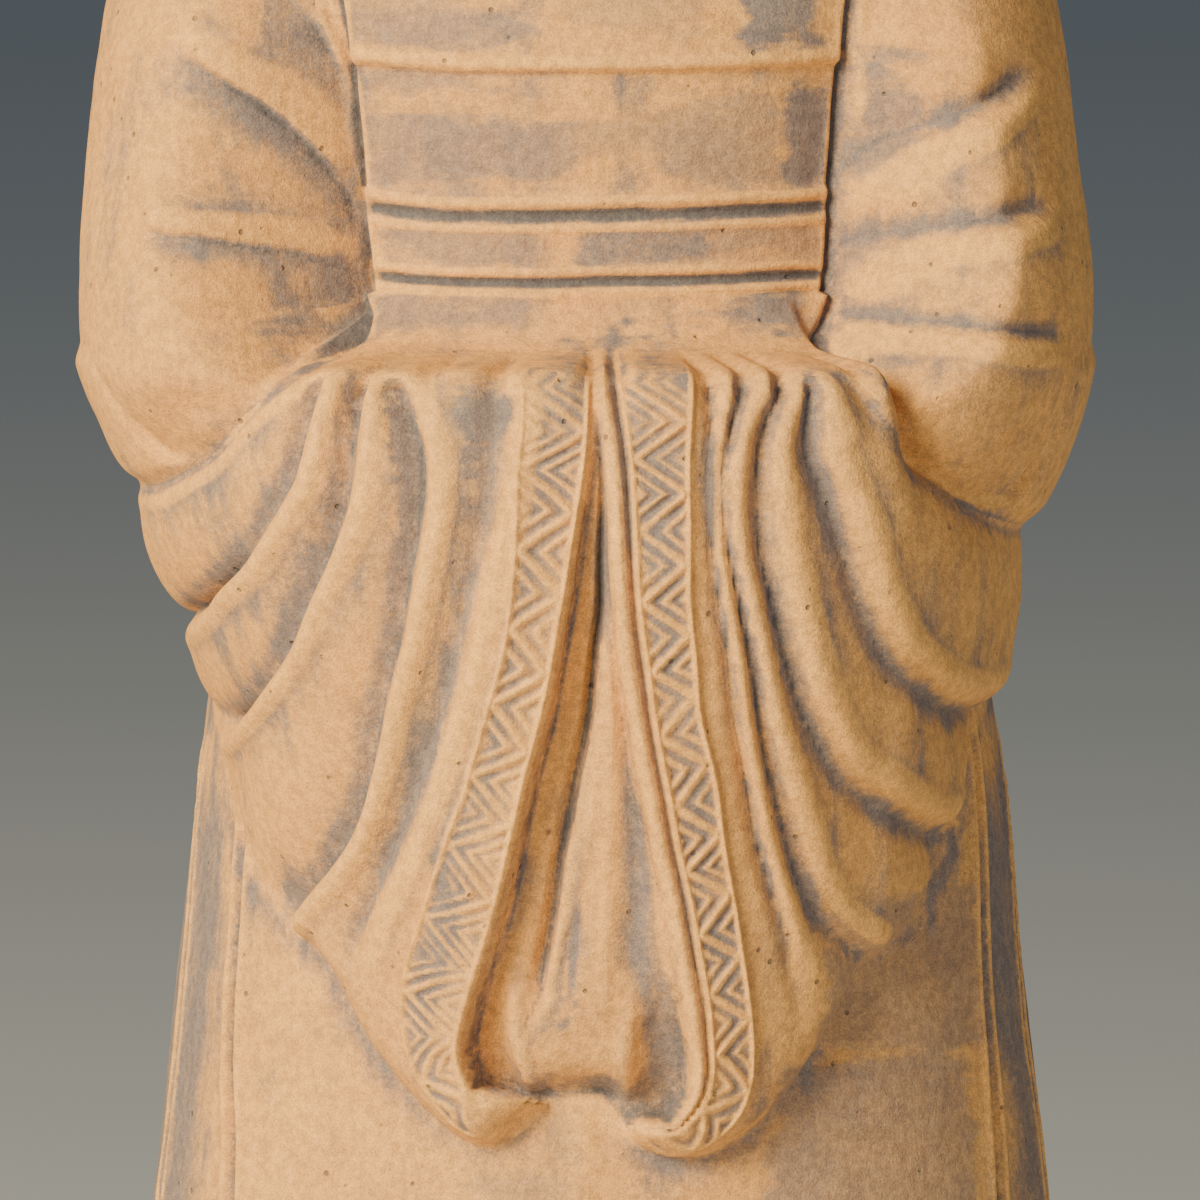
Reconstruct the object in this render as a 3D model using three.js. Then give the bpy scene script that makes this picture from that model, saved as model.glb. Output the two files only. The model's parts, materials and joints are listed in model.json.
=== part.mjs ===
// Fired-clay statue of a standing robed official, hands tucked into wide sleeves, on a low base.
// The whole figure is one moulded piece. Millimetres, +Z up, the figure faces -Y, and the origin
// is the centre of its underside.
//
// The surface is a loft of closed rings around the upright axis. A point on it is named by its
// bearing, in degrees from the front and positive towards +X, and by its height.

import * as THREE from 'three';
import { mergeVertices } from 'three/addons/utils/BufferGeometryUtils.js';

// ---------------------------------------------------------------- driving dimensions

const TOTAL_HEIGHT = 485;
const BASE_HEIGHT = 16;
const BASE_OUTLINE = { halfWidth: 86, front: 73, back: 61, squareness: 5 };
const BASE_EDGE = 1.5;

const HEM_UNDERCUT = 2.5;
const SLEEVE_TIP = 176;
const SLEEVE_TOP = 302;
const BELT = { lower: 312, upper: 324, rise: 1.2 };
const CHEST_FOLD = { edge: 344.5, rise: 1.8, fadeFrom: 8, fadeTo: 24, sideFrom: 55, sideTo: 90 };
const STEP_BLEND = 1.5;
const SHOULDER_TOP = 378;
const CROWN = 466;

const BODY_SQUARENESS = 2.3;
const SLEEVE_SQUARENESS = 2.4;
const HEAD_SQUARENESS = 2.2;
const UNROLLED_RADIUS = 70;
const ARM_GROWTH = { front: 0.55, back: 0.3 };
const KNOT_GROWTH = { front: 0.01, back: 0.01 };
const FOLD_SHARPNESS = 1.4;
const FOLD_STEPS = 14;

// Width of the rounding where one form meets the next.
const TORSO_CREASE = 2.5;
const SLEEVE_CREASE = 2;
const NECK_CREASE = 1.5;
const KNOT_CREASE = 1;

// Robe, torso and neck: height, half width, front depth, back depth.
const BODY = [
  [16, 80, 63, 56],
  [50, 78.5, 62, 53],
  [80, 76, 61, 51],
  [140, 71, 59.5, 49],
  [172, 67.5, 58.5, 48],
  [215, 62.5, 56, 46],
  [245, 59, 53, 44],
  [270, 54, 49, 43],
  [300, 50, 46.5, 42],
  [318, 48, 45, 41.5],
  [343, 50, 46, 42],
  [358, 55, 43.5, 41.5],
  [368, 57, 39, 39.5],
  [376, 54, 33, 36.5],
  [384, 39, 27, 30],
  [391, 24, 21.5, 23.5],
  [397, 17.5, 17.5, 19],
  [404, 15.5, 16, 17.5],
];

// Upper arms: height, left reach, right reach, half width, centre set back (+Y), half depth.
const ARMS = [
  [268, 52, 50, 12, -12, 18],
  [276, 60, 58, 15, -14, 28],
  [285, 67.5, 66, 19, -16, 37],
  [292, 73.5, 70, 23, -16, 42],
  [300, 76.8, 72.8, 25, -16, 44],
  [310, 77.3, 73.2, 25, -15, 43],
  [330, 76, 71, 24, -10, 38],
  [352, 73, 68, 22.5, -6, 34],
  [364, 69, 64, 20, -2, 27],
  [372, 62, 58, 16, 0, 20],
  [378, 52, 50, 10, 0, 12],
];

// How far the joined sleeves stand forward, with a hollow between their tops and the belt:
// height, front depth.
const SLEEVE_FRONT = [
  [176, 57.5],
  [184, 61.5],
  [195, 65],
  [210, 68],
  [230, 71],
  [250, 74],
  [270, 76],
  [284, 75.5],
  [291, 74],
  [296, 71.5],
  [300, 66],
  [303, 54],
  [306, 48],
  [311, 45],
];

// The sleeves' outer edges: how far lobes rise towards the front, how the cloth wraps back
// behind the arms, and its depth at the back as a share of its half width.
const LOBE_LIFT = { from: 85, rise: 0.3, most: 12, lowest: 180, full: 240 };
const SLEEVE_WRAP = { from: 76, to: 112, share: 0.35, backDepth: 0.5 };

// Hanging lobes down each sleeve's outer edge: height of the lobe's foot, half width at its
// head and at its foot. Each is a quarter of an ellipse.
const LEFT_LOBES = { top: 300, lobes: [
  [281, 76.8, 68.5],
  [260, 69, 62],
  [245, 61.5, 57],
  [215, 57, 44.5],
  [190, 43.5, 29.5],
  [178, 29, 16],
] };
const RIGHT_LOBES = { top: 296, lobes: [
  [274, 71.5, 62.8],
  [250, 63.3, 58.5],
  [229.5, 57.5, 52],
  [210, 51.7, 43],
  [184, 40, 30],
  [176, 29, 18],
] };

// Bearings of each cuff band's inner and outer edge by height.
const LEFT_CUFF = [
  [186, 12, 20],
  [190, 15, 24],
  [198, 17.5, 27.8],
  [211, 15, 25.8],
  [226, 11.2, 21],
  [241, 8, 15.8],
  [255, 5.8, 12.2],
  [270, 4.2, 10],
  [287, 2.2, 9],
  [301, 1.5, 10],
];
const RIGHT_CUFF = [
  [186, 10, 17],
  [190, 12.5, 19],
  [198, 14, 20],
  [211, 13, 19],
  [226, 10.5, 16],
  [241, 7.8, 13.8],
  [255, 5.5, 11.2],
  [270, 3.7, 10],
  [287, 3.2, 9.8],
  [301, 3.5, 12],
];
const CUFF_RISE = 0.8;
const CUFF_FEATHER = 0.8;
const FOLD_WALL = { left: 0.6, right: 0.5 };
const FOLDS_FADE = { full: 300, none: 308 };

// How deep the fold lies between the two cuffs: height, depth.
const OPENING_DEPTH = [
  [186, 1],
  [194, 4.5],
  [215, 6.5],
  [240, 6.5],
  [262, 5],
  [280, 2.5],
  [298, 1],
];

// Sleeve folds as quadratic arcs, with bearings counted outwards from the front:
// from, via and to, then depth, and width on the outer and on the inner side.
const LEFT_FOLDS = [
  { from: [33, 302], via: [38, 279], to: [84, 280], depth: 2.6, outer: 9, inner: 3.5 },
  { from: [32, 300], via: [34, 268], to: [84, 260], depth: 3.6, outer: 10, inner: 3.5 },
  { from: [28, 299], via: [28, 251], to: [74, 245], depth: 3.8, outer: 10, inner: 3.5 },
  { from: [20, 300], via: [19, 245], to: [46, 219], depth: 4.2, outer: 9, inner: 3.5 },
  { from: [13, 298], via: [14, 248], to: [36, 206], depth: 2.2, outer: 8, inner: 5 },
];
const RIGHT_FOLDS = [
  { from: [29, 303], via: [31, 273], to: [78, 273], depth: 2.8, outer: 3.5, inner: 9 },
  { from: [21, 300], via: [22, 243], to: [82, 249], depth: 3.8, outer: 3.5, inner: 10 },
  { from: [17, 300], via: [11, 243], to: [54, 230], depth: 3.8, outer: 3.5, inner: 8 },
  { from: [13.5, 300], via: [8, 236], to: [42, 213], depth: 3, outer: 3.5, inner: 6 },
];

// Creases that gather the upper arms towards the belt's ends, counted in the same way.
const LEFT_ARM_FOLDS = [
  { from: [37, 312], via: [42, 330], to: [52, 358], depth: 2.4, outer: 5, inner: 4 },
  { from: [38, 311], via: [46, 320], to: [60, 348], depth: 2.2, outer: 5, inner: 4 },
  { from: [36, 308], via: [42, 318], to: [56, 322], depth: 1.8, outer: 5, inner: 4 },
];
const RIGHT_ARM_FOLDS = [
  { from: [35, 318], via: [40, 332], to: [56, 343], depth: 2.2, outer: 4, inner: 5 },
  { from: [33, 311], via: [42, 318], to: [56, 321], depth: 2, outer: 4, inner: 5 },
];

// Crossed collar edges over the chest, and the robe's panels below the sleeves.
const COLLAR_FOLDS = [
  { from: [-6, 352], via: [12, 366], to: [34, 390], depth: 1.8, outer: 5, inner: 2.5 },
];
const PANEL_FOLDS = [
  { from: [60, 246], via: [59, 150], to: [54, 16], depth: 1.4, outer: 3, inner: 5 },
  { from: [76, 246], via: [75, 150], to: [72, 16], depth: 1.4, outer: 4, inner: 4 },
];
const HEM_WAVE = { depth: 1.4, count: 15, fade: 110 };
const SHOE = { bearing: 19, reach: 9, top: 33, depth: 6 };
const BACK_SEAM = { from: [180, 300], via: [180, 150], to: [180, 16], depth: 1.2, outer: 3, inner: 3 };

// Head: height, half width, front depth, back depth.
const HEAD = [
  [396, 11, 14, 15],
  [401, 13.5, 20, 17],
  [404, 15.5, 23.5, 18],
  [412, 18.5, 25, 19],
  [420, 21.5, 25.5, 23],
  [430, 23.2, 26.2, 27],
  [440, 24, 27, 29],
  [450, 23.5, 26.5, 28],
  [458, 20, 22, 22],
  [463, 13, 14, 15],
  [467, 4, 4, 6],
];

// Features of the head: bearing and height of the middle, reach in degrees and mm, and rise.
const FACE = [
  { at: [0, 424], reach: [5.5, 5], rise: 4.6 },
  { at: [0, 432], reach: [4, 6], rise: 2.4 },
  { at: [0, 415], reach: [11, 4.5], rise: 1.2 },
  { at: [0, 404.5], reach: [11, 4], rise: 1.4 },
  { at: [24, 439.5], reach: [14, 2.6], rise: 1.1, both: true },
  { at: [25, 433], reach: [10, 3], rise: -1.4, both: true },
  { at: [40, 424], reach: [14, 7], rise: 1, both: true },
  { at: [93, 431], reach: [7, 8], rise: 3.8, both: true },
];
const HAIRLINE = { front: 454, back: 412, rise: 1.1, blend: 4, turnsFrom: 55, turnsTo: 120 };
const NECK_TOP = 410;

// Topknot: height and radius, set back from the axis by KNOT_BACK.
const KNOT = [
  [458, 12],
  [462, 11],
  [465, 9.8],
  [468, 11],
  [473, 12.5],
  [478, 11.2],
  [481.5, 8.2],
  [484, 4],
];
const KNOT_BACK = 4;

// Ring heights and the steps between them, and the number of columns in each sector.
const HEM_RINGS = [18.5, 26, 45, 70, 95, 120, 145, 164];
const SLEEVE_STEP = 5;
const TORSO_RINGS = [306, 310.5, 313, 318, 323, 325.5, 334, 343, 346, 351];
const SHOULDER_STEP = 5;
const HEAD_STEP = 4;
const KNOT_RINGS = [469, 474, 478.5, 482.5];
const COLUMNS = { opening: 3, cuff: 2, front: 16, back: 10 };
const SIDE_BEARING = 86;

// ---------------------------------------------------------------- helpers

const radians = THREE.MathUtils.degToRad;

/** 0 below a, 1 above b, smooth between; a may be the larger. */
function ramp(a, b, value) {
  const t = THREE.MathUtils.clamp((value - a) / (b - a), 0, 1);
  return t * t * (3 - 2 * t);
}

/** The larger of two values, with the corner between them rounded by blend. */
function softMax(a, b, blend) {
  const h = THREE.MathUtils.clamp(0.5 + (0.5 * (a - b)) / blend, 0, 1);
  return b + (a - b) * h + blend * h * (1 - h);
}

/** Monotone cubic through one column of a table whose first column is height. */
function profile(rows, column, height) {
  const last = rows.length - 1;
  const z = THREE.MathUtils.clamp(height, rows[0][0], rows[last][0]);
  let i = 0;
  while (i < last - 1 && z > rows[i + 1][0]) i += 1;
  const rise = (k) => (rows[k + 1][column] - rows[k][column]) / (rows[k + 1][0] - rows[k][0]);
  const slope = (k) => {
    if (k === 0) return rise(0);
    if (k === last) return rise(last - 1);
    const before = rise(k - 1);
    const after = rise(k);
    if (before * after <= 0) return 0;
    return (2 * before * after) / (before + after);
  };
  const span = rows[i + 1][0] - rows[i][0];
  const t = (z - rows[i][0]) / span;
  const u = 1 - t;
  return rows[i][column] * (1 + 2 * t) * u * u
    + slope(i) * span * t * u * u
    + rows[i + 1][column] * t * t * (3 - 2 * t)
    - slope(i + 1) * span * t * t * u;
}

/** Distance from the axis to a superellipse whose front and back depths differ. */
function oval(bearing, halfWidth, front, back, squareness) {
  const across = Math.abs(Math.sin(radians(bearing))) / halfWidth;
  const along = Math.cos(radians(bearing));
  const depth = along > 0 ? front : back;
  return (across ** squareness + (Math.abs(along) / depth) ** squareness) ** (-1 / squareness);
}

/**
 * Distance from the axis to the far side of an ellipse off the axis, or 0 where it is missed.
 * From its front edge and its back edge it grows out gently, over the share of its half width
 * that growth gives for each.
 */
function offsetOval(bearing, centreX, centreY, halfWidth, halfDepth, growth) {
  const x = Math.sin(radians(bearing));
  const y = -Math.cos(radians(bearing));
  const a = (x / halfWidth) ** 2 + (y / halfDepth) ** 2;
  const b = (x * centreX) / halfWidth ** 2 + (y * centreY) / halfDepth ** 2;
  const c = (centreX / halfWidth) ** 2 + (centreY / halfDepth) ** 2 - 1;
  const inside = b * b - a * c;
  if (inside <= 0) return 0;
  const offCentre = Math.sqrt(Math.max(1 - inside / a, 0));
  const isFront = (x * centreY - y * centreX) * centreX > 0;
  const grown = ramp(1, 1 - (isFront ? growth.front : growth.back), offCentre);
  return Math.max(((b + Math.sqrt(inside)) / a) * grown, 0);
}

/** How deep a folded line cuts at a place that is outward mm round from the front. */
function foldDepth(fold, outward, height) {
  const arc = new THREE.QuadraticBezierCurve(
    ...[fold.from, fold.via, fold.to].map(([bearing, z]) =>
      new THREE.Vector2(radians(bearing) * UNROLLED_RADIUS, z)),
  );
  const place = new THREE.Vector2(outward, height);
  let nearest = Infinity;
  let side = 1;
  for (let i = 0; i < FOLD_STEPS; i += 1) {
    const start = arc.getPoint(i / FOLD_STEPS);
    const run = arc.getPoint((i + 1) / FOLD_STEPS).sub(start);
    const offset = place.clone().sub(start);
    const t = THREE.MathUtils.clamp(offset.dot(run) / run.lengthSq(), 0, 1);
    const distance = offset.distanceTo(run.clone().multiplyScalar(t));
    if (distance < nearest) {
      nearest = distance;
      side = run.x * offset.y - run.y * offset.x;
    }
  }
  const width = side > 0 ? fold.outer : fold.inner;
  return fold.depth * Math.exp(-((nearest / width) ** FOLD_SHARPNESS));
}

/** The deepest of several folds on one side of the figure: -1 is left, +1 is right. */
function foldsDepth(folds, side, bearing, height) {
  const outward = side * radians(bearing) * UNROLLED_RADIUS;
  return folds.reduce((sum, fold) => Math.hypot(sum, foldDepth(fold, outward, height)), 0);
}

// ---------------------------------------------------------------- the figure's parts

/** Half width of a sleeve's edge at a height, lobe under lobe. */
function lobeHalfWidth({ top, lobes }, height) {
  let head = top;
  let halfWidth = lobes[0][1];
  for (const [foot, atHead, atFoot] of lobes) {
    if (height > head) break;
    const t = THREE.MathUtils.clamp((head - height) / (head - foot), 0, 1);
    halfWidth = atFoot + (atHead - atFoot) * Math.sqrt(1 - t * t);
    head = foot;
  }
  return halfWidth;
}

/** Robe below, torso, shoulders and neck, with belt, chest fold, collar and panels. */
function bodyRadius(bearing, height) {
  const [halfWidth, front, back] = [1, 2, 3].map((column) => profile(BODY, column, height));
  let radius = oval(bearing, halfWidth, front, back, BODY_SQUARENESS);
  const side = Math.sign(bearing) || 1;
  radius += BELT.rise * ramp(BELT.lower - STEP_BLEND, BELT.lower + STEP_BLEND, height)
    * ramp(BELT.upper + STEP_BLEND, BELT.upper - STEP_BLEND, height);
  const { edge, fadeFrom, fadeTo, sideFrom, sideTo } = CHEST_FOLD;
  radius += CHEST_FOLD.rise * ramp(edge - STEP_BLEND, edge + STEP_BLEND, height)
    * ramp(edge + fadeTo, edge + fadeFrom, height) * ramp(sideTo, sideFrom, Math.abs(bearing));
  if (height > edge) {
    radius -= foldsDepth(COLLAR_FOLDS, 1, bearing, height);
    radius -= foldsDepth(COLLAR_FOLDS, -1, bearing, height);
  }
  if (height < SLEEVE_TOP) {
    radius -= foldsDepth(PANEL_FOLDS, side, bearing, height);
    radius -= foldsDepth([BACK_SEAM], side, bearing, height);
    radius += HEM_WAVE.depth * ramp(HEM_WAVE.fade, BASE_HEIGHT, height)
      * Math.cos(radians(bearing) * HEM_WAVE.count);
    radius += SHOE.depth * ramp(SHOE.top, BASE_HEIGHT, height)
      * Math.exp(-(((Math.abs(bearing) - SHOE.bearing) / SHOE.reach) ** 2));
  }
  return radius;
}

/** Both upper arms down to the elbows. */
function armRadius(bearing, height) {
  if (height <= ARMS[0][0] || height >= SHOULDER_TOP) return 0;
  const side = Math.sign(bearing) || 1;
  const [left, right, halfWidth, setBack, halfDepth] = [1, 2, 3, 4, 5]
    .map((column) => profile(ARMS, column, height));
  const reach = side < 0 ? left : right;
  const centre = side * (reach - halfWidth);
  const radius = offsetOval(bearing, centre, setBack, halfWidth, halfDepth, ARM_GROWTH);
  const folds = side < 0 ? LEFT_ARM_FOLDS : RIGHT_ARM_FOLDS;
  return radius - foldsDepth(folds, side, bearing, height);
}

/** Edges of both cuff bands at a height, as bearings from left to right. */
function cuffEdges(height) {
  return [
    -profile(LEFT_CUFF, 2, height),
    -profile(LEFT_CUFF, 1, height),
    profile(RIGHT_CUFF, 1, height),
    profile(RIGHT_CUFF, 2, height),
  ];
}

/** The two wide sleeves, joined in front, with their cuffs and the fold between them. */
function curtainRadius(bearing, height) {
  if (height < SLEEVE_TIP || height > SLEEVE_FRONT.at(-1)[0]) return 0;
  const { from, rise, most, lowest, full } = LOBE_LIFT;
  const lift = THREE.MathUtils.clamp(rise * (from - Math.abs(bearing)), 0, most)
    * ramp(lowest, full, height);
  const halfWidth = lobeHalfWidth(bearing < 0 ? LEFT_LOBES : RIGHT_LOBES, height - lift);
  const front = profile(SLEEVE_FRONT, 1, height);
  const back = SLEEVE_WRAP.backDepth * halfWidth;
  let radius = oval(bearing, halfWidth, front, back, SLEEVE_SQUARENESS);
  radius *= 1 - SLEEVE_WRAP.share * ramp(SLEEVE_WRAP.from, SLEEVE_WRAP.to, Math.abs(bearing));
  const [leftOuter, leftInner, rightInner, rightOuter] = cuffEdges(height);
  const onLeft = ramp(leftOuter - CUFF_FEATHER, leftOuter, bearing)
    * ramp(leftInner + CUFF_FEATHER, leftInner, bearing);
  const onRight = ramp(rightInner - CUFF_FEATHER, rightInner, bearing)
    * ramp(rightOuter + CUFF_FEATHER, rightOuter, bearing);
  radius += CUFF_RISE * (onLeft + onRight);
  const between = ramp(leftInner, FOLD_WALL.left * leftInner, bearing)
    * ramp(rightInner, FOLD_WALL.right * rightInner, bearing);
  return radius - profile(OPENING_DEPTH, 1, height) * between;
}

/** Sleeves with the upper arms grown into them, and the folds across both. */
function sleeveRadius(bearing, height) {
  const radius = softMax(armRadius(bearing, height), curtainRadius(bearing, height), TORSO_CREASE);
  const side = Math.sign(bearing) || 1;
  const shown = ramp(FOLDS_FADE.none, FOLDS_FADE.full, height);
  return radius - shown * foldsDepth(side < 0 ? LEFT_FOLDS : RIGHT_FOLDS, side, bearing, height);
}

/** Head with a calm, plain face, ears and combed hair. */
function headRadius(bearing, height) {
  if (height < HEAD[0][0] || height > HEAD.at(-1)[0]) return 0;
  const [halfWidth, front, back] = [1, 2, 3].map((column) => profile(HEAD, column, height));
  let radius = oval(bearing, halfWidth, front, back, HEAD_SQUARENESS);
  for (const { at, reach, rise, both } of FACE) {
    const off = ((both ? Math.abs(bearing) : bearing) - at[0]) / reach[0];
    radius += rise * Math.exp(-(off * off) - ((height - at[1]) / reach[1]) ** 2);
  }
  const round = ramp(HAIRLINE.turnsFrom, HAIRLINE.turnsTo, Math.abs(bearing));
  const hairline = HAIRLINE.front + (HAIRLINE.back - HAIRLINE.front) * round;
  return radius + HAIRLINE.rise * ramp(hairline, hairline + HAIRLINE.blend, height);
}

/** Bound topknot on the crown. */
function knotRadius(bearing, height) {
  if (height < KNOT[0][0]) return 0;
  const radius = profile(KNOT, 1, height);
  return offsetOval(bearing, 0, KNOT_BACK, radius, radius, KNOT_GROWTH);
}

/** The figure's whole surface above the base. */
function figureRadius(bearing, height) {
  const body = bodyRadius(bearing, height);
  if (height > HEAD[0][0]) {
    const neck = height < NECK_TOP ? body : 0;
    const top = softMax(neck, headRadius(bearing, height), NECK_CREASE);
    return softMax(Math.max(top, 1), knotRadius(bearing, height), KNOT_CREASE);
  }
  const crease = height > SLEEVE_TOP ? TORSO_CREASE : SLEEVE_CREASE;
  return softMax(body, sleeveRadius(bearing, height), crease);
}

/** The low base: a rounded rectangle. */
function baseRadius(bearing) {
  const { halfWidth, front, back, squareness } = BASE_OUTLINE;
  return oval(bearing, halfWidth, front, back, squareness);
}

// ---------------------------------------------------------------- the loft

/** Bearings of one side's columns at a height; columns follow the cuff's two edges. */
function sideColumns(inner, outer) {
  const stops = [
    [0, inner, COLUMNS.opening],
    [inner, outer, COLUMNS.cuff],
    [outer, SIDE_BEARING, COLUMNS.front],
    [SIDE_BEARING, 180, COLUMNS.back],
  ];
  return stops.flatMap(([from, to, count]) =>
    Array.from({ length: count }, (_, i) => from + ((to - from) * i) / count));
}

/** Bearings of a whole ring, from the front round by +X to the back and home by -X. */
function ringBearings(height) {
  const [leftOuter, leftInner, rightInner, rightOuter] = cuffEdges(height);
  const right = sideColumns(rightInner, rightOuter);
  const left = sideColumns(-leftInner, -leftOuter).slice(1).reverse().map((bearing) => -bearing);
  return [...right, 180, ...left];
}

/** One ring of points at a height. */
function ring(height, radiusAt) {
  return ringBearings(height).map((bearing) => {
    const radius = radiusAt(bearing, height);
    const angle = radians(bearing);
    return [radius * Math.sin(angle), -radius * Math.cos(angle), height];
  });
}

/** Heights from first up to last in equal steps near the wanted one. */
function heightsBetween(first, last, step) {
  const count = Math.round((last - first) / step);
  return Array.from({ length: count + 1 }, (_, i) => first + ((last - first) * i) / count);
}

function statueRings() {
  const figureHeights = [
    ...HEM_RINGS,
    ...heightsBetween(SLEEVE_TIP, SLEEVE_TOP, SLEEVE_STEP),
    ...TORSO_RINGS,
    ...heightsBetween(TORSO_RINGS.at(-1) + SHOULDER_STEP, HEAD[0][0], SHOULDER_STEP),
    ...heightsBetween(HEAD[0][0] + HEAD_STEP, CROWN, HEAD_STEP),
    ...KNOT_RINGS,
  ];
  return [
    ring(0, baseRadius),
    ring(BASE_HEIGHT - BASE_EDGE, baseRadius),
    ring(BASE_HEIGHT, (bearing) => baseRadius(bearing) - BASE_EDGE),
    ring(BASE_HEIGHT, (bearing) => figureRadius(bearing, BASE_HEIGHT) - HEM_UNDERCUT),
    ...figureHeights.map((height) => ring(height, figureRadius)),
  ];
}

/** Closed mesh through a stack of rings, with a flat foot and a point on top. */
function loft(rings, topPoint) {
  const count = rings[0].length;
  const positions = [...rings.flat(2), ...topPoint];
  const apex = rings.length * count;
  const indices = [];
  for (let row = 0; row < rings.length - 1; row += 1) {
    for (let i = 0; i < count; i += 1) {
      const here = row * count + i;
      const next = row * count + ((i + 1) % count);
      indices.push(here, next, next + count, here, next + count, here + count);
    }
  }
  for (let i = 0; i < count; i += 1) {
    indices.push(apex - count + i, apex - count + ((i + 1) % count), apex);
  }
  for (let i = 0; i < count / 2; i += 1) {
    const [right, left] = [i, (count - i) % count];
    indices.push(right, count - i - 1, right + 1);
    if (left !== right) indices.push(right, left, count - i - 1);
  }
  const geometry = new THREE.BufferGeometry();
  geometry.setAttribute('position', new THREE.Float32BufferAttribute(positions, 3));
  geometry.setIndex(indices);
  return mergeVertices(geometry);
}

function makeStatue() {
  const geometry = loft(statueRings(), [0, KNOT_BACK, TOTAL_HEIGHT]);
  geometry.computeVertexNormals();
  const clay = new THREE.MeshStandardMaterial({ color: 0xc79a6c, roughness: 0.9, metalness: 0 });
  const statue = new THREE.Mesh(geometry, clay);
  statue.name = 'statue';
  return statue;
}

const part = new THREE.Group();
part.add(makeStatue());

export default part;
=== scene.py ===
"""Fired-clay figure of a standing official in a wide-sleeved robe, on a low base, and its stage."""

import json
import math

import bpy
import numpy as np
from bpy.props import FloatProperty, FloatVectorProperty, IntProperty, PointerProperty
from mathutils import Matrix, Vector

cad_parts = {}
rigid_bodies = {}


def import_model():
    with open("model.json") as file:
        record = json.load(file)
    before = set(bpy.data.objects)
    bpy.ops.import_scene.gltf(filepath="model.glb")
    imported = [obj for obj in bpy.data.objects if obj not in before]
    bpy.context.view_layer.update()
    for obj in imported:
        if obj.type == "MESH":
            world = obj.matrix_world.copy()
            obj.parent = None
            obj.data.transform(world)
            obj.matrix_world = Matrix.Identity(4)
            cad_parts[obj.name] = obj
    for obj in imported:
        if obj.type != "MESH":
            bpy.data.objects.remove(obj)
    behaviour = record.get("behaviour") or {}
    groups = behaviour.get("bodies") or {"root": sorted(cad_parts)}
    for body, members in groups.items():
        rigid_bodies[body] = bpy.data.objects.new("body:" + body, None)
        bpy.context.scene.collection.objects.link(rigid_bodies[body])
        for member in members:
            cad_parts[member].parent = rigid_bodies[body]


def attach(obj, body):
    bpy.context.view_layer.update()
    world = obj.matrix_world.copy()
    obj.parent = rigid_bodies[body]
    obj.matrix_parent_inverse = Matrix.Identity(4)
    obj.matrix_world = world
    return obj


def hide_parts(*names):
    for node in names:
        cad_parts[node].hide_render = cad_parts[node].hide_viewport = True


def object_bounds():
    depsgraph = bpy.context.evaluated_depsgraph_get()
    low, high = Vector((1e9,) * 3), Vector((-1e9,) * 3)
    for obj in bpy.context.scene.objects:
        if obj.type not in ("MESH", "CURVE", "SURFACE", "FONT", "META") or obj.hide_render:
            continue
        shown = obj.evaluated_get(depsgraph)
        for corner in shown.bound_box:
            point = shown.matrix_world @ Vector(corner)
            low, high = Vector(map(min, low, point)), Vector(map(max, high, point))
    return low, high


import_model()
cad_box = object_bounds()

bl_info = {
    "name": "Fired-Clay Robed Figure",
    "version": (1, 0, 0),
    "blender": (4, 5, 0),
    "location": "View3D > Sidebar > Clay Figure",
    "description": "Models a moulded clay figure in a wide-sleeved robe, with its slip wash, and its stage",
    "category": "Add Mesh",
}

# Sizes are in millimetres. A place on the figure is named by its bearing, in degrees from the
# front and positive towards +X, and by its height.

# ---------------------------------------------------------------- heights

TOTAL_HEIGHT = 485.0
BASE_HEIGHT = 16.0
BASE_OUTLINE = (86.0, 73.0, 61.0, 5.0)
BASE_EDGE = 1.5
HEM_UNDERCUT = 2.5
SLEEVE_FOOT = 180.0
CUFF_TOP = 301.0
COVE_TOP = 311.0
CHEST_EDGE = 344.5
SHOULDER_TOP = 378.0
NECK = 396.0
CROWN = 467.0
UNROLLED_RADIUS = 70.0
FAR = 99.0

# ---------------------------------------------------------------- larger form

# Robe, torso and neck: height, half width, front depth, back depth.
BODY = [
    (16, 80, 63, 56), (50, 78.5, 62, 53), (80, 76, 61, 51), (140, 71, 59.5, 49),
    (172, 67.5, 58.5, 48), (215, 62.5, 56, 46), (245, 59, 53, 44), (270, 54, 49, 43),
    (300, 50, 46.5, 42), (318, 48, 45, 41.5), (343, 50, 46, 42), (358, 55, 43.5, 41.5),
    (368, 57, 39, 39.5), (376, 54, 33, 36.5), (384, 39, 27, 30), (391, 24, 21.5, 23.5),
    (397, 17.5, 17.5, 19), (404, 15.5, 16, 17.5),
]

# Upper arms: height, left reach, right reach, half width, centre set back, half depth.
ARMS = [
    (268, 52, 50, 12, -12, 18), (276, 60, 58, 15, -14, 26), (285, 67.5, 66, 19, -16, 34),
    (292, 73.5, 70, 23, -16, 39), (300, 76.6, 72.6, 25, -15.5, 42), (310, 77.2, 73.2, 25, -14, 42),
    (330, 76, 71, 24, -10, 38), (352, 73, 68, 22.5, -6, 34), (364, 69, 64, 20, -2, 27),
    (372, 62, 58, 16, 0, 20), (378, 52, 50, 10, 0, 12),
]
ARM_GROWTH = (0.03, 0.3)

# How far the joined sleeves stand forward, with a cove between their tops and the belt.
SLEEVE_FRONT = [
    (178, 60), (186, 62.5), (195, 65.5), (210, 68), (230, 71), (250, 74), (270, 76),
    (284, 75.5), (291, 74.3), (296, 72.3), (299.6, 69.5), (301.2, 67), (301.9, 63), (302.4, 58.5),
    (303.1, 54), (304.2, 50.6), (306, 48.2), (311, 45),
]

# Half width of the sleeves where they are joined, by height.
SLEEVE_WIDTH = [(176, 45), (200, 50.5), (220, 54.5), (245, 60), (270, 66), (285, 69.5), (300, 71)]

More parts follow.
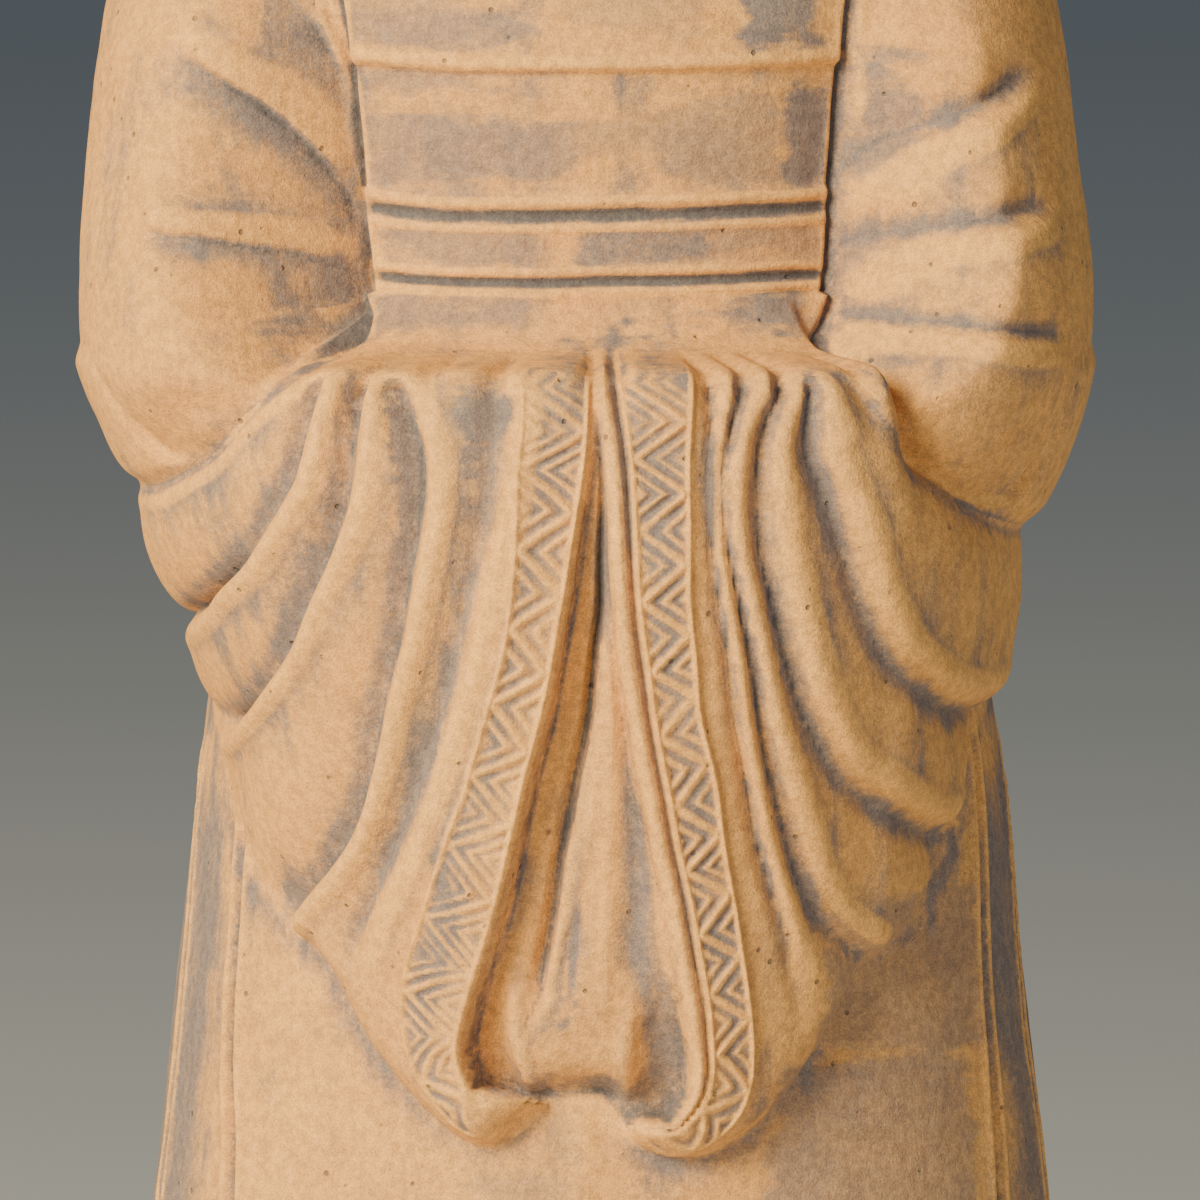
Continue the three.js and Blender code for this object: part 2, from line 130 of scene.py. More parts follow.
# Lobes that hang down each sleeve's outer edge, each ending at one of the creases below: the
# crease's place in its list, and the half width at the lobe's head and foot.
LEFT_LOBES = (308, [(0, 76.8, 68.5), (1, 69, 62), (2, 61.5, 57), (3, 57, 49)])
RIGHT_LOBES = (304, [(4, 71.5, 62.8), (3, 63.3, 58.5), (2, 57.5, 53), (1, 52.5, 46)])

# Lower edge of the hanging sleeves, from the figure's right round to its left.
SLEEVE_EDGE = [
    (-100, 262), (-84, 250), (-71, 243), (-64, 235), (-58, 226), (-51, 220.5), (-45, 217),
    (-39, 212), (-35, 205), (-31, 199.5), (-26.5, 194.5), (-21, 189.8), (-16.5, 187.8), (-13.4, 188.8),
    (-11.2, 191.2), (-9, 193.6), (-5, 195.2), (-1.5, 195.8), (1.2, 195), (3, 192), (5.4, 189), (9, 186.8), (13.5, 185.8),
    (18.5, 187.6), (23.5, 191.5), (29, 198), (33.5, 205),
    (37, 211), (43, 215), (48, 218.5), (54, 226), (60, 233.5), (66, 243), (84, 250), (100, 262),
]

# Middle of each cuff band, from its top to where it curls under: bearing, height, half width.
LEFT_BAND = [
    (-5.3, 301, 5.2), (-5.3, 290, 4.6), (-7, 270, 3.6), (-9, 255.5, 3.8), (-12, 241, 4.3), (-16, 226, 5.2),
    (-20.4, 211, 5.4), (-21.2, 203, 4.6), (-19.4, 197, 3.7), (-17.4, 192.9, 2.7), (-14.4, 190.6, 0.9),
]
RIGHT_BAND = [
    (6.5, 301, 5.6), (6.5, 289, 4.3), (6.8, 270, 3.8), (8.3, 255.5, 3.4), (11, 241, 3.6), (13.3, 226, 3.5),
    (15.8, 211, 3.5), (16.6, 203, 3.6), (16.2, 197, 3.6), (14.3, 192.6, 3.2), (10.6, 189.4, 2.4), (6.0, 190.6, 1.1),
]

# Creases of each sleeve, listed from image left to image right and traced downwards. The side
# that faces the figure's left is steep and ends in a rounded crest.
LEFT_VALLEYS = [
    dict(path=[(-34.5, 303), (-38.4, 299.4), (-43.5, 294.3), (-48.5, 289.5), (-57, 285), (-66, 282),
               (-84, 281), (-100, 284)], depth=0.9, soft=7, hard=2, crest=0.5, end=0.9),
    dict(path=[(-33.5, 299), (-35, 289), (-37, 284), (-44, 274.5), (-52, 269.5), (-60.5, 265.5),
               (-84, 260), (-100, 260)], depth=2.6, soft=14, hard=3, crest=1.0, end=0.9),
    dict(path=[(-28, 299), (-28.5, 286), (-30, 279), (-34.5, 268.5), (-40, 259), (-50, 251),
               (-63, 247), (-84, 245), (-98, 247)], depth=2.8, soft=15, hard=2.8, crest=1.0, end=0.9),
    dict(path=[(-23.5, 299), (-20.5, 291), (-20, 284), (-21, 275), (-22.5, 265), (-25, 255.5),
               (-27.5, 245), (-32, 234), (-39, 226.5), (-46, 221), (-54, 219)],
         depth=2.7, soft=15, hard=2.8, crest=1.0, end=0.9),
    dict(path=[(-11.5, 297), (-12.5, 284), (-14.5, 271), (-16.5, 260), (-19.5, 248), (-24, 235),
               (-31, 220), (-36, 208)], depth=1.6, soft=8, hard=3.4, crest=0.5, end=0.8),
]
RIGHT_VALLEYS = [
    dict(path=[(13, 299), (12, 284), (13, 270), (15, 255), (17.5, 240.5), (20, 230), (23, 219),
               (26, 205), (28, 196)], depth=1.3, soft=3, hard=3.2, crest=0.6, end=0.6),
    dict(path=[(16.5, 299), (13.8, 290), (13.4, 283), (15, 270), (18.2, 252), (20.8, 240), (25.5, 226),
               (33, 217), (42, 213)], depth=1.6, soft=7, hard=3.4, crest=0.6, end=0.9),
    dict(path=[(21.5, 299), (18, 291), (17.5, 280), (19, 270), (22, 257.5), (26.5, 247), (31, 241),
               (39, 235.5), (48, 232), (58, 230.5), (66, 231)], depth=1.9, soft=9, hard=3.6, crest=0.6, end=0.9),
    dict(path=[(25, 299), (23.5, 291), (25, 285), (27.5, 277), (30, 269), (34, 260.5), (39.5, 255),
               (49.5, 250), (66, 248.5), (84, 249), (100, 252)],
         depth=2.1, soft=12, hard=3.8, crest=0.6, end=0.9),
    dict(path=[(27.5, 304.5), (30, 298.7), (34.5, 292), (40, 286), (48, 280.8), (58.5, 277.2), (68, 275.4),
               (84, 275), (100, 278)], depth=0.9, soft=7, hard=2, crest=0.35, end=0.9),
]

# Gathers between the elbows and the belt's ends, traced downwards, in the same way.
LEFT_ARM_CREASES = [
    dict(path=[(-54, 360), (-51.4, 353.6), (-48.7, 347), (-47.2, 340), (-46.3, 332), (-45, 324)],
         depth=1.7, soft=7, hard=2.6, crest=0.5, end=0.98),
    dict(path=[(-62, 349), (-57, 345.4), (-51.5, 338), (-48, 330), (-45.4, 322.5), (-43, 315.5), (-41.3, 310)],
         depth=2.3, soft=11, hard=2.6, crest=0.7, end=0.98),
    dict(path=[(-59, 321), (-51, 319), (-46.5, 316.3), (-43, 312.6), (-40.5, 309.5), (-38.5, 306.5)],
         depth=1.9, soft=7, hard=2.4, crest=0.6, end=0.98),
]
RIGHT_ARM_CREASES = [
    dict(path=[(66, 344), (58, 340.5), (51.5, 337), (47, 333.7), (44.5, 330), (43, 326)],
         depth=1.8, soft=7, hard=3, crest=0.5, end=0.98),
    dict(path=[(64, 324), (56, 323), (49.5, 321.6), (45, 319.5), (42, 316), (39.8, 312)],
         depth=1.7, soft=6, hard=3, crest=0.5, end=0.98),
    dict(path=[(62, 305), (52, 306), (44, 308), (39, 308.4), (35.5, 306.5)],
         depth=1.3, soft=5, hard=3, crest=0.5, end=0.98),
]

# Where the torso meets the arms, with the width over which the arm rounds up from it.
TORSO_SIDES = [
    [(-49, 366, 13), (-47, 354, 13), (-46.3, 345, 13), (-46, 337, 13), (-45, 326, 12.5), (-43.8, 317, 11.5),
     (-41.5, 309, 9.5), (-37.5, 302, 8), (-33, 294, 7)],
    [(47.5, 366, 13), (45.5, 356, 13), (44.5, 349, 13), (43.7, 337, 13), (43.2, 324, 12.5), (42.3, 315, 11),
 (40.2, 308, 9.5), (36, 302.5, 8), (31, 295, 7)],
]
SIDE_LIMITS = [list(zip(*[(height, abs(bearing)) for bearing, height, _ in reversed(side)])) for side in TORSO_SIDES]
ELBOW_SPREAD = 12.0

# Level mouldings round the torso: height of the middle, half height and rise.
MOULDINGS = [
    (345.4, 1.1, 0.5), (325.0, 0.85, 0.55), (323.2, 1.05, -0.5), (321.4, 0.65, 0.45),
    (314.9, 0.7, 0.5), (313.4, 0.85, -0.5), (312.0, 0.7, 0.5),
]
SAG = 0.6

# The fold between the cuffs, as lines across it: a share of the way from the left cuff to the
# right cuff's rolled rim at each height, then the depth at each height.
FOLD_HEIGHTS = (190, 200, 210, 220, 232, 244, 256, 268, 280, 296)
FOLD_LINES = [
    ((0, 0, 0, 0, 0, 0, 0, 0, 0, 0), (0, 0, 0, 0, 0, 0, 0, 0, 0, 0)),
    ((.08, .08, .07, .07, .08, .09, .12, .15, .2, .2), (2, 4.6, 5.2, 5.2, 5, 4.6, 4, 3, 1.6, .3)),
    ((.18, .18, .19, .2, .2, .26, .38, .5, .5, .5), (2.2, 4.6, 5.2, 5.4, 5.6, 5.6, 5.2, 4.2, 2.4, .4)),
    ((.24, .26, .28, .29, .31, .4, .53, .67, .72, .72), (2.2, 6, 7, 7.2, 7.2, 7, 6.8, 5.8, 3.4, .6)),
    ((.3, .32, .335, .35, .38, .5, .62, .76, .8, .8), (1.6, 3.8, 4, 4, 4.2, 4, 3.8, 3.2, 2, .5)),
    ((.36, .38, .39, .42, .5, .6, .7, .82, .86, .86), (2, 4.4, 4.6, 4.4, 3.6, 3, 2.8, 2.4, 1.6, .5)),
    ((.5, .55, .6, .62, .66, .74, .8, .88, .9, .9), (1.6, 2.8, 3, 3, 2.8, 2.4, 2.2, 1.8, 1.2, .4)),
    ((.68, .7, .72, .78, .86, .9, .93, .95, .96, .96), (2.4, 3.6, 4, 3.8, 3.4, 3, 2.6, 2, 1.2, .4)),
    ((.84, .86, .88, .91, .95, .97, .98, .98, .98, .98), (1.4, 2.4, 2.6, 2.4, 2.2, 1.8, 1.6, 1.2, .8, .2)),
    ((1, 1, 1, 1, 1, 1, 1, 1, 1, 1), (0, 0, 0, 0, 0, 0, 0, 0, 0, 0)),
]
RIM_WIDTH = ((192, 206), (0.9, 2.8))

# Closed ends of the two hollows in that fold: bearing, height and reach down the middle, then depth.
POCKETS = [
    ([(-13.6, 226, 3.4), (-14.4, 212, 3.4), (-14.4, 204, 3.6), (-13.2, 198.5, 3.5), (-12.2, 194.6, 2.9)], 3.0),
    ([(7.5, 228, 4.4), (8.5, 212, 5.1), (8.5, 205, 5.3), (8.1, 199.5, 5.0), (7.6, 195.6, 4.3)], 2.2),
]
BETWEEN_POCKETS = ((194, 197, 202, 212), (6.8, 5.6, 3.8, 2.8))
CRATER = (6.6, 206, 2.3)

# Panels of the robe below the sleeves, and the crossed collar on the chest.
PANEL_LINES = [
    [(-59, 250), (-58, 206), (-55, 177), (-54.5, 120), (-54, 17)],
    [(-80, 246), (-75, 204), (-75.5, 174), (-74, 100), (-72, 17)],
    [(67, 250), (63, 206), (61, 176), (59, 110), (56, 17)],
    [(87, 246), (78, 204), (79, 173), (76, 110), (73, 17)],
    [(180, 300), (180, 17)],
]
COLLAR_LINES = [
    [(-34, 360), (-16, 363), (4, 370), (18, 379), (28, 390)],
    [(-30, 389), (-22, 378), (-12, 370), (-4, 365)],
]

# ---------------------------------------------------------------- head

HEAD = [
    (396, 11, 14, 15), (401, 13.5, 20, 17), (404, 15.5, 23.5, 18), (412, 18.5, 25, 19),
    (420, 21.5, 25.5, 23), (430, 23.2, 26.2, 27), (440, 24, 27, 29), (450, 23.5, 26.5, 28),
    (458, 20, 22, 22), (463, 13, 14, 15), (467, 4, 4, 6),
]

# Rounded features: bearing and height of the middle, reach each way, rise, and on both sides.
FEATURES = [
    (0, 432, 3.6, 7, 2.6, False), (0, 424.2, 4.6, 3.6, 4.6, False), (0, 423, 3.5, 2.2, 1.2, False),
    (8, 422.3, 3.8, 2.2, 1.7, True), (4.4, 420.4, 1.8, 1.0, -0.9, True),
    (0, 414.6, 14, 4.6, 1.5, False), (0, 404.8, 13, 4.2, 1.8, False), (0, 409.6, 10, 1.5, -0.7, False),
    (0, 417.8, 1.8, 1.8, -0.35, False), (24, 438.8, 13, 2.4, 1.2, True), (24, 433.6, 11, 4.2, -1.9, True),
    (24, 433.4, 8.2, 3.1, 1.5, True), (40, 424, 13, 6.5, 0.9, True), (30, 413, 9, 7, 0.5, True),
]
EYE = (24, 433.3, 11, 2.3, 1.4)
MOUTH = (414, 12)
EAR = (93, 431, 9, 9.5)
HAIRLINE = (455, 413)
KNOT = [(458, 12), (462, 11), (465, 9.8), (468, 11), (473, 12.5), (478, 11.2), (481.5, 8.2), (484, 4)]
KNOT_BACK = 4.0

# ---------------------------------------------------------------- grid

# Columns on each half: across the opening, across the cuff, to the side, and round the back.
COLUMNS = (30, 40, 130, 60)
SIDE_BEARING = 86.0
# Rows: up to this height, at this spacing.
ROW_BANDS = [(20, 0.5), (176, 1.6), (282, 0.4), (304.5, 0.22), (352, 0.45), (396, 1.0), (468, 0.4), (484.6, 0.5)]
CUFF_COLUMNS = [
    (186, 12, 20, 10, 17), (190, 15, 24, 12.5, 19), (198, 17.5, 27.8, 14, 20), (211, 15, 25.8, 13, 19),
    (226, 11.2, 21, 10.5, 16), (241, 8, 15.8, 7.8, 13.8), (255, 5.8, 12.2, 5.5, 11.2),
    (270, 4.2, 10, 3.7, 10), (287, 2.2, 9, 3.2, 9.8), (301, 1.5, 10, 3.5, 12), (330, 4, 16, 5, 16),
    (396, 14, 34, 14, 34), (484, 14, 36, 14, 36),
]


# ---------------------------------------------------------------- numbers

def ramp(a, b, value):
    """0 below a, 1 above b, smooth between; a may be the larger."""
    t = np.clip((value - a) / (b - a), 0.0, 1.0)
    return t * t * (3.0 - 2.0 * t)


def bell(distance, width):
    return np.exp(-(distance / width) ** 2)


def soft_max(a, b, blend):
    h = np.clip(0.5 + 0.5 * (a - b) / blend, 0.0, 1.0)
    return b + (a - b) * h + blend * h * (1.0 - h)


def profile(rows, column, height):
    """Monotone cubic through one column of a table whose first column is height."""
    table = np.asarray(rows, float)
    z, v = table[:, 0], table[:, column]
    rise = np.diff(v) / np.diff(z)
    slope = np.empty_like(v)
    slope[0], slope[-1] = rise[0], rise[-1]
    before, after = rise[:-1], rise[1:]
    agree = before * after > 0
    slope[1:-1] = np.where(agree, 2 * before * after / np.where(agree, before + after, 1.0), 0.0)
    h = np.clip(height, z[0], z[-1])
    i = np.clip(np.searchsorted(z, h) - 1, 0, len(z) - 2)
    span = z[i + 1] - z[i]
    t = (h - z[i]) / span
    u = 1.0 - t
    return (v[i] * (1 + 2 * t) * u * u + slope[i] * span * t * u * u
            + v[i + 1] * t * t * (3 - 2 * t) - slope[i + 1] * span * t * t * u)


def oval(bearing, half_width, front, back, squareness):
    """Distance from the axis to a superellipse whose front and back depths differ."""
    across = np.abs(np.sin(np.radians(bearing))) / half_width
    along = np.cos(np.radians(bearing))
    depth = np.where(along > 0, front, back)
    return (across ** squareness + (np.abs(along) / depth) ** squareness) ** (-1.0 / squareness)


def offset_oval(bearing, centre_x, centre_y, half_width, half_depth, growth):
    """Far side of an ellipse off the axis, growing out gently from its front and back edges."""
    x, y = np.sin(np.radians(bearing)), -np.cos(np.radians(bearing))
    a = (x / half_width) ** 2 + (y / half_depth) ** 2
    b = x * centre_x / half_width ** 2 + y * centre_y / half_depth ** 2
    c = (centre_x / half_width) ** 2 + (centre_y / half_depth) ** 2 - 1.0
    inside = b * b - a * c
    hit = np.maximum(inside, 0.0)
    off_centre = np.sqrt(np.clip(1.0 - hit / a, 0.0, 1.0))
    share = np.where((x * centre_y - y * centre_x) * centre_x > 0, growth[0], growth[1])
    return np.where(inside > 0, np.maximum((b + np.sqrt(hit)) / a, 0.0) * ramp(1.0, 1.0 - share, off_centre), 0.0)


def lumps(place, size, seed):
    """Smooth random swelling between -1 and 1, with features about size mm across."""
    lattice = np.random.default_rng(seed).uniform(-1.0, 1.0, (24, 24, 24))
    cell = [axis / size for axis in place]
    low = [np.floor(axis).astype(int) for axis in cell]
    part = [axis - floor for axis, floor in zip(cell, low)]
    part = [t * t * (3 - 2 * t) for t in part]
    total = 0.0
    for corner in range(8):
        step = [(corner >> k) & 1 for k in range(3)]
        weight = 1.0
        for t, up in zip(part, step):
            weight = weight * (t if up else 1.0 - t)
        i, j, k = [(floor + up) % 24 for floor, up in zip(low, step)]
        total = total + weight * lattice[i, j, k]
    return total


def unroll(bearing):
    return np.radians(bearing) * UNROLLED_RADIUS


def smooth_path(points, steps=6):
    """Smooth curve through places on the figure, with any further columns carried along."""
    knots = np.array([(unroll(p[0]), *p[1:]) for p in points], float)
    padded = np.vstack([2 * knots[0] - knots[1], knots, 2 * knots[-1] - knots[-2]])
    t = np.linspace(0.0, 1.0, steps, endpoint=False)[:, None]
    spans = [0.5 * (2 * b + (c - a) * t + (2 * a - 5 * b + 4 * c - d) * t ** 2 + (3 * b - a - 3 * c + d) * t ** 3)
             for a, b, c, d in zip(padded, padded[1:], padded[2:], padded[3:])]
    return np.vstack([*spans, knots[-1:]])


def measure(path, x, z, reach=26.0):
    """Signed distance to a path, positive on the right of its run, and the length along it."""
    distance = np.full(x.shape, FAR)
    along = np.zeros(x.shape)
    extra = np.zeros(x.shape)
    near = ((x > path[:, 0].min() - reach) & (x < path[:, 0].max() + reach)
            & (z > path[:, 1].min() - reach) & (z < path[:, 1].max() + reach))
    px, pz = x[near], z[near]
    best = np.full(px.shape, np.inf)
    turn, run, value = np.ones(px.shape), np.zeros(px.shape), np.zeros(px.shape)
    start = 0.0
    for a, b in zip(path, path[1:]):
        rx, rz = b[0] - a[0], b[1] - a[1]
        length = math.hypot(rx, rz)
        ox, oz = px - a[0], pz - a[1]
        t = np.clip((ox * rx + oz * rz) / length ** 2, 0.0, 1.0)
        gap = (ox - t * rx) ** 2 + (oz - t * rz) ** 2
        closer = gap < best
        best[closer] = gap[closer]
        turn[closer] = np.sign(rx * oz - rz * ox)[closer]
        run[closer] = start + (t * length)[closer]
        if len(a) > 2:
            value[closer] = (a[2] + (b[2] - a[2]) * t)[closer]
        start += length
    distance[near] = np.sqrt(best) * np.where(turn < 0, -1.0, 1.0)
    along[near] = run
    extra[near] = value
    return distance, along, extra, start


# ---------------------------------------------------------------- the figure's surface

class Surface:
    """Grid of places on the figure, its radius there, and the slip, painted shade and painted highlight it carries."""

    def __init__(self, settings):
        self.settings = settings
        self.bearing, self.height = figure_grid()
        self.tall = np.broadcast_to(self.height, self.bearing.shape)
        angle = np.radians(self.bearing)
        self.place = (64 * np.sin(angle), -64 * np.cos(angle), self.tall)
        self.radius = np.zeros(self.bearing.shape)
        # Masks of slip with painted shade, of near-black slip with painted shade, and of rubbed clay with a painted
        # highlight.
        self.wash_and_shade = np.zeros(self.bearing.shape)
        self.dark_tone_and_shade = np.zeros(self.bearing.shape)
        self.worn_and_highlight = np.zeros(self.bearing.shape)
        self.on_arm = np.zeros(self.bearing.shape)
        self.bare = np.zeros(self.bearing.shape)
        self.plain = np.zeros(self.bearing.shape)
        stray = settings.hand_wobble
        self.x = unroll(self.bearing) + stray * (0.3 * lumps(self.place, 9, 11) + 0.5 * lumps(self.place, 30, 13))
        self.z = self.tall + stray * (0.16 * lumps(self.place, 7, 12) + 0.5 * lumps(self.place, 30, 14))

    def rows(self, low, high):
        inside = (self.height[:, 0] > low) & (self.height[:, 0] < high)
        found = np.flatnonzero(inside)
        return slice(found[0], found[-1] + 1)


def half_columns(inner, outer, crowd_at, crowd):
    """Bearings of one side's columns in every row, crowded where the torso meets the arm."""
    edges = [np.zeros_like(inner), inner, outer, np.full_like(inner, SIDE_BEARING), np.full_like(inner, 180.0)]
    parts = [start + (stop - start) * np.arange(count) / count
             for start, stop, count in zip(edges, edges[1:], COLUMNS)]
    share = np.linspace(0.0, 1.0, 240)
    for i, (start, stop, middle, more) in enumerate(zip(outer[:, 0], edges[3][:, 0], crowd_at[:, 0], crowd[:, 0])):
        bearing = start + (stop - start) * share
        weight = np.cumsum(1 + more * bell(bearing - middle, 6.0))
        weight = (weight - weight[0]) / (weight[-1] - weight[0])
        parts[2][i] = np.interp(np.arange(COLUMNS[2]) / COLUMNS[2], weight, bearing)
    return np.hstack(parts)


def figure_grid():
    """Bearings and heights of the rows between the base and the top of the knot."""
    heights, low = [], BASE_HEIGHT
    for high, spacing in ROW_BANDS:
        heights.append(np.linspace(low, high, round((high - low) / spacing), endpoint=False))
        low = high
    height = np.append(np.concatenate(heights), low)[:, None]
    crowd = 3.0 * ramp(297, 307, height) * ramp(385, 372, height)
    left_meets, right_meets = [np.interp(height, *zip(*[(p[1], abs(p[0])) for p in reversed(side)])) + 3
                               for side in TORSO_SIDES]
    left = half_columns(profile(CUFF_COLUMNS, 1, height), profile(CUFF_COLUMNS, 2, height), left_meets, crowd)
    right = half_columns(profile(CUFF_COLUMNS, 3, height), profile(CUFF_COLUMNS, 4, height), right_meets, crowd)
    behind = np.full_like(height, 180.0)
    return np.hstack([right, behind, -left[:, :0:-1]]), height


def body_form(s):
    """Robe below, torso, shoulders and neck, without detail."""
    half_width, front, back = [profile(BODY, column, s.height) for column in (1, 2, 3)]
    return oval(s.bearing, half_width, front, back, 2.3)


def arm_form(s):
    """Both upper arms down to the elbows, before they are rounded in to torso and sleeve."""
    rows = s.rows(ARMS[0][0], SHOULDER_TOP)
    bearing, height = s.bearing[rows], s.height[rows]
    height = np.where(bearing < 0, height - 3 * ramp(305, 290, height), height)
    left, right, half_width, set_back, half_depth = [profile(ARMS, column, height) for column in range(1, 6)]
    side = np.where(bearing < 0, -1.0, 1.0)
    centre = side * (np.where(bearing < 0, left, right) - half_width)
    radius = np.zeros(s.bearing.shape)
    radius[rows] = offset_oval(bearing, centre, set_back, half_width, half_depth, ARM_GROWTH)
    return radius


def arm_edges(s):
    """How far a place lies out from the torso and above the elbow's crease, and the rounding there."""
    out, above, spread = [], [], []
    for side, torso, crease in ((-1, TORSO_SIDES[0], LEFT_VALLEYS[0]), (1, TORSO_SIDES[1], RIGHT_VALLEYS[-1])):
        distance, _, width, _ = measure(smooth_path(torso), s.x, s.z, 200)
        out.append(side * distance)
        spread.append(width)
        distance, *_ = measure(smooth_path(crease["path"]), s.x, s.z, 200)
        above.append(side * distance)
    left = s.bearing < 0
    return [np.where(left, *pair) for pair in (out, above, spread)]


def rounded_arms(s, body, flat):
    """Arms that round in to the torso beside them and to the joined sleeves under them."""
    raw = arm_form(s)
    out, above, spread = arm_edges(s)
    s.on_arm = ramp(0.0, 1.6, np.minimum(out, above))
    side = (raw - body) * (1 - np.sin(0.5 * np.pi * np.clip(out / np.maximum(spread, 5.0), 0, 1)))
    under = (raw - flat) * (1 - np.sin(0.5 * np.pi * np.clip(above / ELBOW_SPREAD, 0, 1)))
    # Painted shade along the seam between arm and torso and just under the elbow's crease, laid in with the slip.
    seam_shade = np.maximum(bell(out, 1.1) * (above > 0), 0.7 * bell(above + 1.2, 1.2) * (out > 0))
    s.wash_and_shade = np.maximum(s.wash_and_shade, seam_shade * (s.tall > 270) * (s.tall < 372))
    inside = (out > 0) & (above > 0) & (raw > 0)
    arms = raw - np.hypot(np.maximum(side, 0), np.maximum(under, 0))
    ledge = np.minimum(flat, raw) - 1.2 - 1.5 * above
    return np.where(inside, soft_max(arms, ledge, 1.5), 0.0)


def lobe_half_width(lobes, valleys, bearing, height):
    """Half width of a sleeve's edge, lobe under lobe, each with a rounded underside."""
    head, rows = lobes
    width = profile(SLEEVE_WIDTH, 1, height) + 0.0 * bearing
    for place, at_head, at_foot in rows:
        outer = sorted((abs(b), z) for b, z in valleys[place]["path"] if abs(b) > 30)
        foot = np.interp(np.abs(bearing), *zip(*outer))
        t = np.clip((head - height) / np.maximum(head - foot, 1.0), 0.0, 1.0)
        width = np.where(height <= head, at_foot + (at_head - at_foot) * np.sqrt(1 - t * t), width)
        head = foot
    below = profile(SLEEVE_WIDTH, 1, height)
    return np.where(height < head, np.minimum(below, rows[-1][2] + 3 * np.sqrt(np.clip((head - height) / 8, 0, 1))), width)


def curtain_form(s, body):
    """The two wide sleeves, joined in front, standing proud of the robe behind their lower edge."""
    rows = s.rows(SLEEVE_FOOT, COVE_TOP)
    bearing, height = s.bearing[rows], s.z[rows]
    lobed = np.where(bearing < 0, lobe_half_width(LEFT_LOBES, LEFT_VALLEYS, bearing, height),
                     lobe_half_width(RIGHT_LOBES, RIGHT_VALLEYS, bearing, height))
    plain = profile(SLEEVE_WIDTH, 1, height)
    half_width = plain + (lobed - plain) * ramp(38, 64, np.abs(bearing)) - 16 * ramp(299, 309, height)
    top = cove_lift(bearing) - scallops(bearing) * ramp(286, 298, height) * ramp(303.5, 301.5, height)
    front = profile(SLEEVE_FRONT, 1, s.tall[rows] + top)
    flat = oval(bearing, half_width, profile(SLEEVE_FRONT, 1, np.minimum(height, 296)), 0.5 * half_width, 2.4)
    radius = oval(bearing, half_width, front, 0.5 * half_width, 2.4)
    narrower = 1 - 0.35 * ramp(76, 112, np.abs(bearing))
    radius *= narrower
    edge, *_ = measure(smooth_path(SLEEVE_EDGE), s.x[rows], s.z[rows], 30)
    thickness = np.clip(np.where(edge > FAR - 1, FAR, edge) / 6.0, 0.0, 1.0)
    above = np.where(np.abs(bearing) < 100, np.sqrt(1 - (1 - thickness) ** 2), 1.0)
    flush = bell(bearing + 2.0, 4.0)
    behind = body[rows] - 3.0 + 3.2 * flush
    out = np.zeros(s.bearing.shape)
    out[rows] = np.where(radius > behind, behind + (radius - behind) * above, radius)
    # Painted shadow on the robe just under the sleeves' lower edge, laid in with the slip.
    under = 0.8 * np.exp(-np.abs(edge + 0.6) / 2.6) * (edge < 1) * (edge > -20) * (1 - flush)
    s.wash_and_shade[rows] = np.maximum(s.wash_and_shade[rows], under)
    plain = np.zeros(s.bearing.shape)
    plain[rows] = flat * narrower
    return out, plain


def scallops(bearing):
    """How much the sleeves' top edge rises between the gathers."""
    gathers = [-36, -28, -20.5, -12.5, -1, 2, 13, 17.5, 22, 31]
    gap = np.min([np.abs(bearing - gather) for gather in gathers], axis=0)
    return 1.9 * ramp(0.0, 2.8, gap) - 0.4


def cove_lift(bearing):
    """How far the sleeves' top edge follows the elbows' creases down, outside the gathers."""
    drop = 0.0
    for here, crease in ((bearing < 0, LEFT_VALLEYS[0]), (bearing >= 0, RIGHT_VALLEYS[-1])):
        path = [(abs(b), z) for b, z in crease["path"]]
        drop = np.where(here, np.clip(301 - np.interp(np.abs(bearing), *zip(*path)), 0, None), drop)
    return drop * ramp(70, 56, np.abs(bearing)) * ramp(33, 38, np.abs(bearing))


